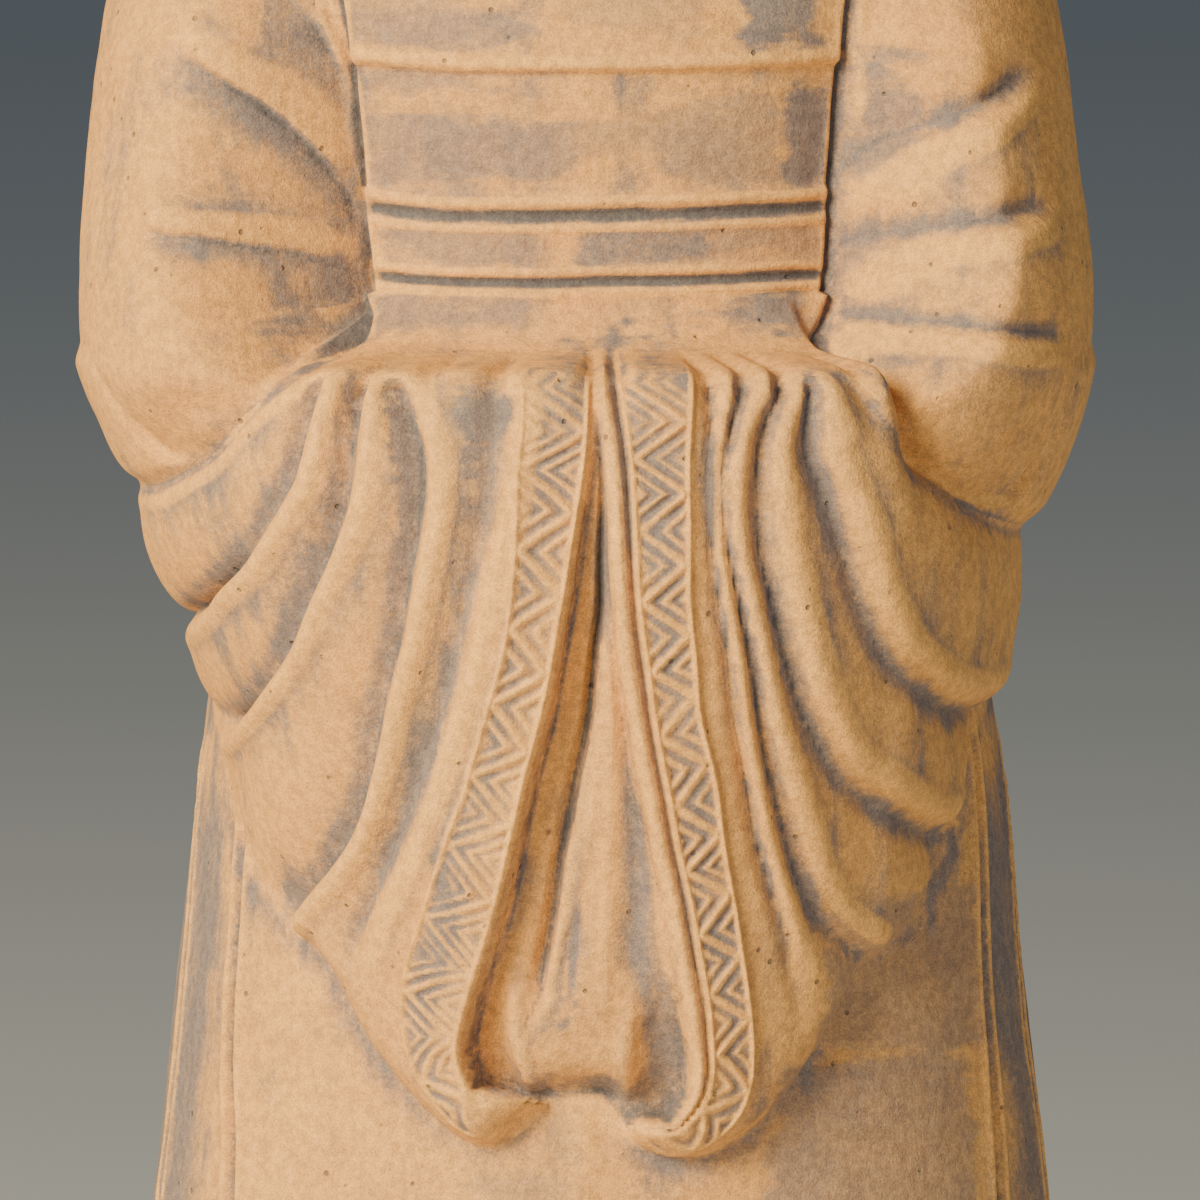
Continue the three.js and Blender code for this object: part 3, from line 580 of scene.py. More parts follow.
def cut_creases(s, creases, shown, start=0.85):
    """Depth and crest of a set of creases, listed from the figure's right to its left."""
    marks = [measure(smooth_path(crease["path"]), s.x, s.z) for crease in creases]
    deepest, crest, wash_and_shade, worn_and_highlight = 0.0, 0.0, 0.0, 0.0
    for k, (crease, (distance, along, _, length)) in enumerate(zip(creases, marks)):
        gap = np.abs(distance)
        before = np.abs(marks[k - 1][0]) if k else FAR
        after = np.abs(marks[k + 1][0]) if k + 1 < len(marks) else FAR
        soft = np.clip(0.85 * (gap + before), 2.5, crease["soft"])
        hard = np.clip(0.38 * (gap + after), 1.2, crease["hard"])
        share = along / length
        fade = (start + (1 - start) * ramp(0.0, 0.33, share)) * ramp(1.0, crease.get("end", 0.7), share)
        fade = fade * (gap < FAR - 1) * (1 - 0.6 * ramp(55, 80, np.abs(s.bearing)))
        wall = 1 - np.sin(0.5 * np.pi * np.clip(gap / hard, 0, 1))
        slope = np.clip(1 - gap / soft, 0, 1) ** 2
        even = ramp(0.3, 0.0, share)
        slope = slope + even * (1 - np.sin(0.5 * np.pi * np.clip(1.6 * gap / soft, 0, 1)) - slope)
        cut = crease["depth"] * fade * np.where(distance < 0, slope, wall)
        roll = crease["crest"] * fade * bell(distance - 1.25 * hard, 0.45 * hard + 0.5)
        deepest = deepest + cut ** 4
        crest = np.maximum(crest, roll)
        past = distance - 1.25 * hard
        beyond = ramp(0.3, 1.3, past) * np.exp(-np.clip(past - 1.0, 0, None) / 3.2) * (1 - 0.5 * share)
        # Slip with painted shade along each valley and its soft side, grey slip just past the crest, and rubbed clay
        # with a painted highlight on the crest.
        wash_and_shade = np.maximum(wash_and_shade, fade * np.where(distance < 0, 0.55 * np.exp(-gap / (0.2 * soft)), bell(gap, 0.8)))
        wash_and_shade = np.maximum(wash_and_shade, 0.95 * fade * beyond)
        worn_and_highlight = np.maximum(worn_and_highlight, fade * bell(distance - 1.2 * hard, 0.4 * hard + 0.4))
    s.wash_and_shade = np.maximum(s.wash_and_shade, wash_and_shade * shown)
    s.worn_and_highlight = np.maximum(s.worn_and_highlight, worn_and_highlight * shown)
    return crest - deepest ** 0.25


def cut_groove(s, points, depth, width, lip=0.0, shown=1.0):
    """A scored line: a groove with a raised lip on each side."""
    distance, along, _, length = measure(smooth_path(points), s.x, s.z, 8)
    share = along / length
    shown = shown * ramp(0.0, 0.04, share) * ramp(0.0, 0.04, 1 - share) * (np.abs(distance) < 8)
    score = bell(distance, width) * shown
    # Slip with painted shade darkens the groove.
    s.dark_tone_and_shade = np.maximum(s.dark_tone_and_shade, 0.8 * score)
    return lip * bell(np.abs(distance) - 2.1 * width, width) * shown - depth * score


def band_relief(s, points, seed, period):
    """A cuff's patterned band, and the signed distance inwards from its edges."""
    path = smooth_path(points, 8)
    across, along, half, length = measure(path, s.x, s.z, 45)
    rim = half - np.abs(across)
    inside = rim > -1.5
    jitter = np.random.default_rng(seed)
    knots = np.linspace(0, length, 30)
    phase = np.interp(along, knots, np.cumsum(jitter.uniform(0.9, 1.1, 30)) / 30 * length)
    swing = np.interp(along, knots, jitter.uniform(0.85, 1.05, 30))
    turn = np.abs((phase / period) % 1.0 * 2 - 1) * 2 - 1
    reach = (half - 0.6) * swing
    slant = math.cos(math.atan2(4 * (np.mean([p[2] for p in points]) - 0.6), period))
    from_line = np.abs(across - turn * reach) * slant
    zigzag = bell(from_line, 0.5) + 0.7 * bell(from_line - 1.95, 0.38) + 0.5 * bell(from_line - 3.6, 0.45)
    grooves = bell(from_line - 0.98, 0.42) + 0.9 * bell(from_line - 2.8, 0.4)
    clear = ramp(0.5, 1.2, rim)
    border = bell(rim - 0.4, 0.42)
    rubbed = 0.3 + 0.7 * ramp(-0.6, 0.1, lumps(s.place, 5, seed + 1)) * ramp(0.0, 7.0, along)
    depth = s.settings.band_relief * 1000
    relief = depth * ((zigzag - 0.35 * grooves) * clear * rubbed + border)
    relief = np.where(inside, relief + 0.4 * ramp(-0.3, 0.5, rim), 0.0)
    # Slip with painted shade in the grooves; rubbed clay with a painted highlight on the zigzag ridges and border.
    s.dark_tone_and_shade = np.maximum(s.dark_tone_and_shade, np.where(inside, 0.55 * clear * grooves * rubbed, 0.0))
    s.wash_and_shade = np.maximum(s.wash_and_shade, np.where(inside, 0.8 * clear * np.clip(1 - zigzag, 0, 1), 0.0))
    s.worn_and_highlight = np.maximum(s.worn_and_highlight, np.where(inside, 0.8 * np.maximum(zigzag * clear, border), 0.0))
    return relief, rim, across, along, length


def opening_relief(s, left, right):
    """The folded cloth between the two cuffs."""
    _, left_rim, left_across, *_ = left
    _, right_rim, right_across, *_ = right
    from_left = np.where(left_across > 0, -left_rim, -1.0)
    rim_width = np.interp(s.tall, *RIM_WIDTH)
    from_right = np.where(right_across < 0, -right_rim - rim_width, -1.0)
    rows = s.rows(180, 297)
    a, b = from_left[rows], from_right[rows]
    between = (a > 0) & (b > 0) & (np.abs(s.bearing[rows]) < 20)
    share = np.clip(a / np.maximum(a + b, 0.2), 0, 1)
    height = s.z[rows]
    depth = np.zeros(share.shape)
    stops = [(np.interp(height, FOLD_HEIGHTS, at), np.interp(height, FOLD_HEIGHTS, deep))
             for at, deep in FOLD_LINES]
    for (u0, d0), (u1, d1) in zip(stops, stops[1:]):
        t = np.clip((share - u0) / np.maximum(u1 - u0, 1e-3), 0, 1)
        t = t * t * (3 - 2 * t)
        depth = np.where((share >= u0) & (share <= u1), d0 + (d1 - d0) * t, depth)
    closed, lip = np.interp(height, *BETWEEN_POCKETS), 0.0
    level = closed
    for points, deep in POCKETS:
        off, _, reach, _ = measure(smooth_path(points), s.x[rows], s.z[rows], 12)
        gap = np.abs(off) / np.maximum(reach, 1.0)
        closed = np.maximum(closed, level + deep * np.clip(1 - gap ** 2, 0, 1))
        lip = np.maximum(lip, bell(np.abs(off) - reach - 1.2, 1.1) * (reach > 0))
    depth = depth + (closed - 0.45 * lip - depth) * ramp(219, 203, height)
    crater = np.hypot(s.x[rows] - unroll(CRATER[0]), s.z[rows] - CRATER[1]) / CRATER[2]
    rough = lumps([axis[rows] for axis in s.place], 0.8, 61)
    depth = depth + ramp(1.1, 0.7, crater) * (0.2 + 0.35 * rough)
    tight = ramp(0.0, 1.2, a) * ramp(0.0, 1.0, b)
    out = np.zeros(s.bearing.shape)
    out[rows] = -np.where(between, depth * tight, 0.0)
    slit_at, slit_depth = stops[3]
    open_part = ramp(1.0, 4.0, slit_depth) * ramp(196, 207, height)
    # Darkening in the deep slit is painted shade.
    near_slit = 0.85 * bell((share - slit_at) * (a + b), 0.6) * open_part
    flank = bell((share - slit_at - 0.08) * (a + b), 1.6) * open_part
    flank = np.maximum(flank, 0.8 * lip * ramp(209, 204, height))
    flank = np.maximum(flank, bell((share - 0.45) * (a + b), 0.7) * ramp(203, 207, height) * ramp(228, 222, height))
    near_slit = np.maximum(near_slit, 0.9 * bell(a - 0.5, 0.7) * ramp(292, 280, height))
    wall = ramp(1.2, 2.0, a) * ramp(slit_at - 0.01, slit_at - 0.05, share) * open_part
    crest = ramp(slit_at + 0.14, slit_at + 0.2, share) * ramp(0.66, 0.58, share)
    s.bare[rows] = np.where(between, np.maximum(wall, 0.7 * crest), 0.0)
    gutter = bell(b - 0.6, 0.8) * ramp(294, 280, height)
    s.dark_tone_and_shade[rows] = np.maximum(s.dark_tone_and_shade[rows], np.where(between, np.maximum(near_slit, 0.6 * gutter), 0))
    s.wash_and_shade[rows] = np.maximum(s.wash_and_shade[rows], np.where(between, 0.8 * flank, 0))
    rolled = np.zeros(s.bearing.shape)
    on_rim = (right_across < 0) & (right_rim < 0) & (right_rim > -rim_width - 1)
    rolled[on_rim] = (0.9 * bell(-right_rim - 0.68 * rim_width, 0.34 * rim_width) - 0.55 * bell(-right_rim - 0.35, 0.4))[on_rim]
    s.wash_and_shade = np.maximum(s.wash_and_shade, np.where(on_rim, bell(-right_rim - 0.7, 0.8), 0))
    return out + rolled * (s.tall < 300)


def torso_relief(s, shown):
    """Belt, chest fold and collar, where the torso shows."""
    middle = np.clip(s.bearing / 38.0, -1.4, 1.4)
    ends = np.minimum(np.interp(s.tall, *SIDE_LIMITS[0]) + s.bearing, np.interp(s.tall, *SIDE_LIMITS[1]) - s.bearing)
    ends = ramp(0.3, 2.6, ends)
    level = s.z + SAG * (1 - middle ** 2)
    out = np.zeros(s.bearing.shape)
    for at, half, rise in MOULDINGS:
        mark = bell(level - at, half)
        out += rise * mark * ends
        # Grooves get slip with painted shade, ridges rubbed clay with a painted highlight.
        if rise < 0:
            s.dark_tone_and_shade = np.maximum(s.dark_tone_and_shade, 1.1 * mark * shown)
            s.wash_and_shade = np.maximum(s.wash_and_shade, 1.3 * mark * shown)
        else:
            s.worn_and_highlight = np.maximum(s.worn_and_highlight, 0.8 * mark * shown)
    out += 0.5 * ramp(310.3, 311.3, level) * ramp(326.8, 325.6, level)
    out += 0.9 * ramp(343.6, 344.8, level) * ramp(372, 354, level) * ramp(78, 60, np.abs(s.bearing))
    for points in COLLAR_LINES:
        out += cut_groove(s, points, 0.8, 0.8, lip=0.5, shown=shown)
    return out


def robe_relief(s, shown):
    """Panels, hem waves and shoe tips of the robe below the sleeves."""
    out = 1.4 * ramp(120, 16, s.tall) * np.cos(np.radians(s.bearing * 15) + 0.6 * lumps(s.place, 45, 21))
    for points in PANEL_LINES:
        out += cut_groove(s, points, 0.9, 0.9, lip=0.55, shown=shown)
    toe = bell(np.abs(s.bearing) - 19, 9) * ramp(33, 22, s.tall)
    return out + 6.0 * toe


def head_form(s, rows):
    """Head with a calm, plain face, ears and combed hair; the bound topknot is added by knot_form."""
    bearing, height = s.bearing[rows], s.height[rows]
    half_width, front, back = [profile(HEAD, column, height) for column in (1, 2, 3)]
    radius = oval(bearing, half_width, front, back, 2.2)
    around = np.abs(bearing)
    for at, level, reach, tall, rise, both in FEATURES:
        radius = radius + rise * bell((around if both else bearing) - at, reach) * bell(height - level, tall)
    eye_at, eye_level, eye_reach, upper, lower = EYE
    t = (around - eye_at) / eye_reach
    lid = np.clip(1 - t * t, 0, 1)
    top = eye_level + upper * lid ** 0.8 + 0.35 * t
    bottom = eye_level - lower * lid + 0.35 * t
    open_eye = ramp(0.25, -0.25, height - top) * ramp(-0.25, 0.25, height - bottom) * (lid > 0)
    radius = radius - 0.45 * open_eye + 0.4 * bell(height - top - 0.4, 0.5) * ramp(0, 0.2, lid)
    radius = radius - 0.3 * bell(height - top - 1.7, 0.45) * ramp(0, 0.3, lid)
    radius = radius + 0.25 * bell(height - bottom + 0.35, 0.45) * ramp(0, 0.2, lid)
    brow = 439.3 + 1.0 * lid - 0.6 * np.clip(t, 0, 2)
    radius = radius + 0.35 * bell(height - brow, 0.8) * ramp(1.5, 1.0, np.abs(t))
    mouth_level, mouth_reach = MOUTH
    m = np.clip(bearing / mouth_reach, -1.3, 1.3)
    line = mouth_level + 0.5 * m * m - 0.35 * np.cos(np.pi * np.clip(m, -1, 1) * 2) * 0.4
    lip = np.clip(1 - m * m, 0, 1) ** 0.6
    radius = radius + lip * (0.75 * bell(height - line - 1.25, 1.0) + 0.95 * bell(height - line + 1.5, 1.2))
    radius = radius - 0.75 * bell(height - line, 0.38) * ramp(1.25, 0.9, np.abs(m))
    ear_at, ear_level, ear_reach, ear_tall = EAR
    ear = np.hypot((around - ear_at) / ear_reach, (height - ear_level + 0.15 * (around - ear_at)) / ear_tall)
    radius = radius + 3.0 * ramp(1.12, 0.86, ear) + 1.0 * bell(ear - 0.86, 0.13) - 1.7 * ramp(0.72, 0.4, ear)
    radius = radius + 1.0 * bell(around - ear_at + 4, 2.4) * bell(height - ear_level + 1, 2.2)
    round_back = ramp(50, 118, around)
    hairline = HAIRLINE[0] + (HAIRLINE[1] - HAIRLINE[0]) * round_back
    hair = ramp(hairline - 0.3, hairline + 1.2, height) * ramp(0.95, 1.15, ear)
    strands = np.cos(np.radians(bearing * 26) + 1.4 * lumps([p[rows] for p in s.place], 16, 31))
    radius = radius + hair * (1.2 + 0.28 * strands * ramp(hairline, hairline + 3, height))
    return np.where((height > HEAD[0][0]) & (height < HEAD[-1][0]), radius, 0.0), hair


def knot_form(s, rows):
    bearing, height = s.bearing[rows], s.height[rows]
    radius = profile(KNOT, 1, height)
    twist = np.cos(np.radians(bearing * 9) + 0.35 * height)
    radius = radius + 0.3 * twist * ramp(466, 469, height) * ramp(483, 479, height)
    radius = radius + 0.9 * bell(height - 465.3, 1.5)
    return np.where(height > KNOT[0][0], offset_oval(bearing, 0.0, KNOT_BACK, radius, radius, (0.01, 0.01)), 0.0)


def smoothed(radius, s):
    """The radius with its steepest walls softened, under the elbows and at the curled cuff ends."""
    _, above, _ = arm_edges(s)
    weight = bell(above, 3.5) * ramp(270, 276, s.tall) * ramp(312, 306, s.tall) * ramp(30, 36, np.abs(s.bearing))
    weight = np.maximum(weight, bell(s.bearing + 12.5, 4.5) * bell(s.tall - 192.5, 3.5))
    weight = np.maximum(weight, 0.8 * bell(s.bearing - 5.5, 3.0) * bell(s.tall - 192.0, 3.0))
    return radius + weight * (blurred(radius, 2.2) - radius)


def shape_figure(s):
    """Fill in the surface's radius from the base to the crown."""
    depth = s.settings.fold_depth
    body = body_form(s)
    curtain, flat = curtain_form(s, body)
    arms = rounded_arms(s, body, np.maximum(flat, body))
    sleeves = soft_max(arms, curtain, 0.8 + 6.5 * ramp(42, 60, np.abs(s.bearing)))
    s.plain = soft_max(body, sleeves, 1.5)
    torso = ramp(-0.6, 0.8, body - curtain) * (1 - s.on_arm)
    body = body + np.where((s.tall > 300) & (s.tall < 392), torso_relief(s, torso), 0.0)
    body = body + np.where(s.tall < 260, robe_relief(s, torso), 0.0)
    left = s.bearing < 0
    upper, lower = s.on_arm * ramp(372, 360, s.tall), ramp(302.6, 300.8, s.tall) * (1 - 0.7 * s.on_arm)
    sleeves = sleeves + depth * lower * (np.where(left, cut_creases(s, LEFT_VALLEYS, lower * left),
                                                  cut_creases(s, RIGHT_VALLEYS, lower * ~left)))
    sleeves = sleeves + depth * upper * (np.where(left, cut_creases(s, LEFT_ARM_CREASES, upper * left, 0),
                                                  cut_creases(s, RIGHT_ARM_CREASES, upper * ~left, 0)))
    left_band = band_relief(s, LEFT_BAND, 41, 11.2)
    right_band = band_relief(s, RIGHT_BAND, 43, 9.6)
    on_cuffs = ramp(303, 300, s.tall)
    sleeves = sleeves + on_cuffs * (left_band[0] + right_band[0]) + opening_relief(s, left_band, right_band)
    radius = soft_max(body, sleeves, np.where(s.tall > 302, 2.4, 1.2))
    for points in TORSO_SIDES:
        radius = radius + cut_groove(s, points[:-1], 0.9, 0.9, lip=0.3)
    radius = smoothed(radius, s)
    rows = s.rows(NECK, 999)
    head, hair = head_form(s, rows)
    neck = np.where(s.tall[rows] < 410, radius[rows], 0.0)
    top = np.maximum(soft_max(neck, head, 1.5), 1.0)
    radius[rows] = soft_max(top, knot_form(s, rows), 1.0)
    s.dark_tone_and_shade[rows] = np.maximum(s.dark_tone_and_shade[rows], 0.25 * hair)
    wobble = s.settings.hand_wobble
    radius += wobble * (0.35 * lumps(s.place, 26, 51) + 0.16 * lumps(s.place, 8, 52) + 0.05 * lumps(s.place, 2.6, 53))
    s.radius = radius


# ---------------------------------------------------------------- slip, painted shade and painted highlight

def blurred(field, width):
    """Gaussian blur of an evenly spaced field, width in cells."""
    reach = int(3 * width) + 1
    kernel = np.exp(-0.5 * (np.arange(-reach, reach + 1) / width) ** 2)
    kernel /= kernel.sum()
    padded = np.pad(field, reach, mode="edge")
    rows, columns = field.shape
    once = sum(k * padded[i:i + rows] for i, k in enumerate(kernel))
    return sum(k * once[:, i:i + columns] for i, k in enumerate(kernel))


def hollow_and_ridge(s):
    """How far the surface lies under or over its surroundings, at a fine and a broad scale."""
    cell = 0.4
    across = np.arange(-180, 180, math.degrees(cell / 62.0))
    up = np.arange(s.height[0, 0], s.height[-1, 0], cell)
    ordered = np.argsort(s.bearing[0] % 360)
    columns = (s.bearing[:, ordered] % 360)
    values = (s.radius - s.plain)[:, ordered]
    even = np.array([np.interp(across % 360, b, v, period=360) for b, v in zip(columns, values)])
    row = np.interp(up, s.height[:, 0], np.arange(len(even)))
    low = np.clip(row.astype(int), 0, len(even) - 2)
    t = (row - low)[:, None]
    raster = even[low] * (1 - t) + even[low + 1] * t
    fine = raster - blurred(raster, 2.2)
    broad = blurred(raster, 1.5) - blurred(raster, 8.0)
    i = np.clip((s.tall - up[0]) / cell, 0, len(up) - 1.001)
    j = ((s.bearing - across[0]) % 360) / (across[1] - across[0])
    i0, j0 = i.astype(int), j.astype(int) % len(across)
    i1, j1 = i0 + 1, (j0 + 1) % len(across)
    ti, tj = i - i0, j - np.floor(j)

    def at(field):
        return ((field[i0, j0] * (1 - tj) + field[i0, j1] * tj) * (1 - ti)
                + (field[i1, j0] * (1 - tj) + field[i1, j1] * tj) * ti)

    return at(fine), at(broad)


# Painted patches of slip: bearings, heights and strength. The patch on the skirt's right, below the right sleeve, is
# slip with painted shade.
PATCHES = [
    (-48, -10, 347.6, 353, 0.75), (-8, 18, 350, 358, 0.35), (-46, -24, 352, 362, 0.45), (26, 39.5, 347.4, 358, 1.2),
    (-45, -3, 326.6, 338, 0.75), (-6, 11, 331, 337, 0.45), (10.5, 32, 327, 338, 0.6), (34, 43, 327.8, 340.5, 1.1),
    (-44, -6, 341.4, 343.6, 0.6), (-41, -11, 315.6, 320.8, 0.7), (-3.5, 20, 315.8, 320.6, 0.95),
    (20, 40, 316, 320.5, 0.6), (-40, -12, 305.4, 310.8, 0.75), (13, 36, 305.8, 310.6, 1.1),
    (-5, 8, 306, 309.4, 0.35), (-25, -20.9, 286.5, 298.2, 1.0), (-16, -11.8, 288, 299.4, 1.0),
    (-31.5, -28.6, 285, 297, 0.8), (13.6, 16.4, 286, 298.6, 1.0), (18.8, 22, 289, 299, 0.8),
    (25.4, 29, 290, 298, 0.7), (-18, -4, 176, 184, 0.45), (3, 15, 170, 180, 0.4), (-30, -18, 158, 176, 0.3),
    # The first patch in this row, below the right sleeve, is slip with painted shade.
    (24, 56, 150, 200, 0.7), (30, 62, 200, 224, 0.6), (-46.5, -43, 318, 345, 0.9), (-50, -46.5, 338, 362, 0.8), (-43.5, -39, 304, 311, 1.0),
    (44.5, 49, 327, 346, 0.9), (41, 46, 309, 319, 0.8), (36, 42, 303, 308, 0.9), 
]


def lay_slip_shade_and_highlight(s):
    """Gather the slip: in hollows, down the soft sides of folds, and in painted patches; add painted shade in the fine
    hollows and a painted highlight on ridges and crests.
    """
    fine, broad = hollow_and_ridge(s)
    outside_cove = 1 - ramp(299, 300.6, s.tall) * ramp(311, 309, s.tall) * ramp(40, 34, np.abs(s.bearing))
    outside_cove = outside_cove * (1 - s.bare)
    s.wash_and_shade = np.maximum(s.wash_and_shade, 0.75 * np.clip(-broad / 0.9, 0, 1) * outside_cove)
    round_side = np.abs(s.bearing)
    under_sleeve = ramp(2, -16, s.z - np.minimum(246, 228 + 1.6 * (round_side - 58)))
    on_sides = ramp(56, 70, round_side) * ramp(138, 84, round_side) * ramp(20, 150, s.z) * under_sleeve
    s.wash_and_shade = np.maximum(s.wash_and_shade, 0.8 * on_sides)
    # Painted shade in the fine hollows, laid as near-black slip.
    s.dark_tone_and_shade = np.maximum(s.dark_tone_and_shade, np.clip(-fine / 0.7 - 0.25, 0, 0.7) * outside_cove)
    # Painted highlight on ridges and crests, together with rubbed clay.
    s.worn_and_highlight = np.clip(0.7 * s.worn_and_highlight + np.clip(fine / 0.4, 0, 0.8) + np.clip(broad / 1.2, 0, 0.5), 0, 1)
    x, z = s.x, s.z
    edge = np.full(x.shape, -6.0)
    tone = np.zeros(x.shape)
    for b0, b1, z0, z1, strength in PATCHES:
        dx = np.maximum(unroll(b0) - x, x - unroll(b1))
        dz = np.maximum(z0 - z, z - z1)
        corner = 2.0
        outside = np.hypot(np.maximum(dx + corner, 0), np.maximum(dz + corner, 0)) - corner
        signed = -(outside + np.minimum(np.maximum(dx + corner, dz + corner), 0))
        tone = np.where(signed > edge, strength, tone)
        edge = np.maximum(edge, signed)
    s.patch, s.tone = np.clip(edge, -6, 6), tone


# ---------------------------------------------------------------- mesh

def full_rows(s, scale):
    """Every row's places in metres, from the underside's middle to the top, and the figure's first row."""
    half_width, front, back, squareness = BASE_OUTLINE
    bearing = s.bearing[0]
    outline = oval(bearing, half_width, front, back, squareness)
    hem = s.radius[0] - HEM_UNDERCUT
    rim = outline - 1.7
    base = [(outline * 0.3, 0), (outline * 0.65, 0), (outline - 4, 0), (outline - 0.8, 0), (outline - 0.25, 0.25),
            (outline, 0.8), (outline, 4), (outline, 8), (outline, 11.5), (outline, 14.2), (outline - 0.4, 15.3),
            (outline - 1.0, 15.85), (rim, 16), (0.67 * rim + 0.33 * hem, 16), (0.33 * rim + 0.67 * hem, 16), (hem, 16)]
    angle = np.radians(np.vstack([np.tile(bearing, (len(base), 1)), s.bearing]))
    radius = np.vstack([np.array([row for row, _ in base]), s.radius])
    height = np.vstack([np.array([[z] for _, z in base]), s.height])
    tall = np.broadcast_to(height, radius.shape)
    rows = np.stack([radius * np.sin(angle), -radius * np.cos(angle), tall], axis=-1)
    return rows * scale, len(base)


def deselect_all():
    for item in bpy.context.view_layer.objects:
        item.select_set(False)
    bpy.context.view_layer.objects.active = None


def add_figure(settings):
    """The finished clay figure as one object at the origin."""
    s = Surface(settings)
    shape_figure(s)
    lay_slip_shade_and_highlight(s)
    scale = settings.total_height / TOTAL_HEIGHT
    places, first = full_rows(s, scale)
    rows, columns = places.shape[:2]
    deselect_all()
    bpy.ops.mesh.primitive_grid_add(x_subdivisions=columns, y_subdivisions=rows + 1, size=2.0, calc_uvs=False)
    figure = bpy.context.object
    figure.name = "clay_figure"
    mesh = figure.data
    mesh.name = "clay_figure"
    flat = np.empty(len(mesh.vertices) * 3)
    mesh.vertices.foreach_get("co", flat)
    across, up, _ = flat.reshape(-1, 3).T
    row = np.rint((up + 1) / 2 * (rows + 1)).astype(int) - 1
    column = np.rint((across + 1) / 2 * columns).astype(int) % columns
    foot, crown = row < 0, row >= rows
    held = np.clip(row, 0, rows - 1)
    co = places[held, column]
    co[foot] = (0.0, 0.0, 0.0)
    co[crown] = (0.0, KNOT_BACK * scale, settings.total_height)
    mesh.vertices.foreach_set("co", co.ravel())
    # The slip, near-black slip and rubbed-clay masks carry painted shade and painted highlight into the material.
    for name, field, base_value in (("wash_and_shade", s.wash_and_shade, 0.1), ("dark_tone_and_shade", s.dark_tone_and_shade, 0.0), ("worn_and_highlight", s.worn_and_highlight, 0.3),
                                    ("patch", s.patch, -6.0), ("tone", s.tone, 0.0)):
        values = np.vstack([np.full((first, columns), base_value), field])
        layer = mesh.attributes.new(name, "FLOAT", "POINT")
        layer.data.foreach_set("value", values[held, column].astype(np.float32))
    mesh.update()
    bpy.ops.object.mode_set(mode="EDIT")
    bpy.ops.mesh.select_all(action="SELECT")
    bpy.ops.mesh.remove_doubles(threshold=1e-7)
    bpy.ops.object.mode_set(mode="OBJECT")
    thin = figure.modifiers.new("thin", "DECIMATE")
    thin.ratio = settings.triangle_limit / (2.0 * rows * columns)
    bpy.ops.object.modifier_apply(modifier=thin.name)
    bpy.ops.object.shade_smooth()
    return figure


# ---------------------------------------------------------------- material

def node(tree, kind, inputs=None, **options):
    """A shader node with its options set and its inputs set or linked."""
    made = tree.nodes.new(kind)
    for name, value in options.items():
        setattr(made, name, value)
    for name, value in (inputs or {}).items():
        if isinstance(value, bpy.types.NodeSocket):
            tree.links.new(value, made.inputs[name])
        else:
            made.inputs[name].default_value = value
    return made


def maths(tree, operation, a, b=0.5, clamp=False):
    return node(tree, "ShaderNodeMath", {0: a, 1: b}, operation=operation, use_clamp=clamp).outputs[0]


def attribute(tree, name):
    return node(tree, "ShaderNodeAttribute", attribute_name=name).outputs["Fac"]


def between(tree, value, low, high):
    """0 below low and 1 above high, smooth between."""
    inputs = {"Value": value, "From Min": low, "From Max": high}
    return node(tree, "ShaderNodeMapRange", inputs, interpolation_type="SMOOTHSTEP").outputs["Result"]


def mix(tree, share, a, b, blend="MIX"):
    made = node(tree, "ShaderNodeMix", data_type="RGBA", blend_type=blend)
    for socket, value in ((made.inputs["Factor"], share), (made.inputs[6], a), (made.inputs[7], b)):
        if isinstance(value, bpy.types.NodeSocket):
            tree.links.new(value, socket)
        else:
            socket.default_value = value
    return made.outputs[2]


def grain(tree, where, scale, detail=3.0, roughness=0.6, stretch=None, offset=(0, 0, 0)):
    """Noise on the object's own coordinates, scale in features a metre."""
    if stretch:
        where = node(tree, "ShaderNodeMapping", {"Vector": where, "Scale": stretch, "Location": offset}).outputs[0]
    inputs = {"Vector": where, "Scale": scale, "Detail": detail, "Roughness": roughness}
    return node(tree, "ShaderNodeTexNoise", inputs).outputs[0]


def rgba(colour):
    return (*colour, 1.0)


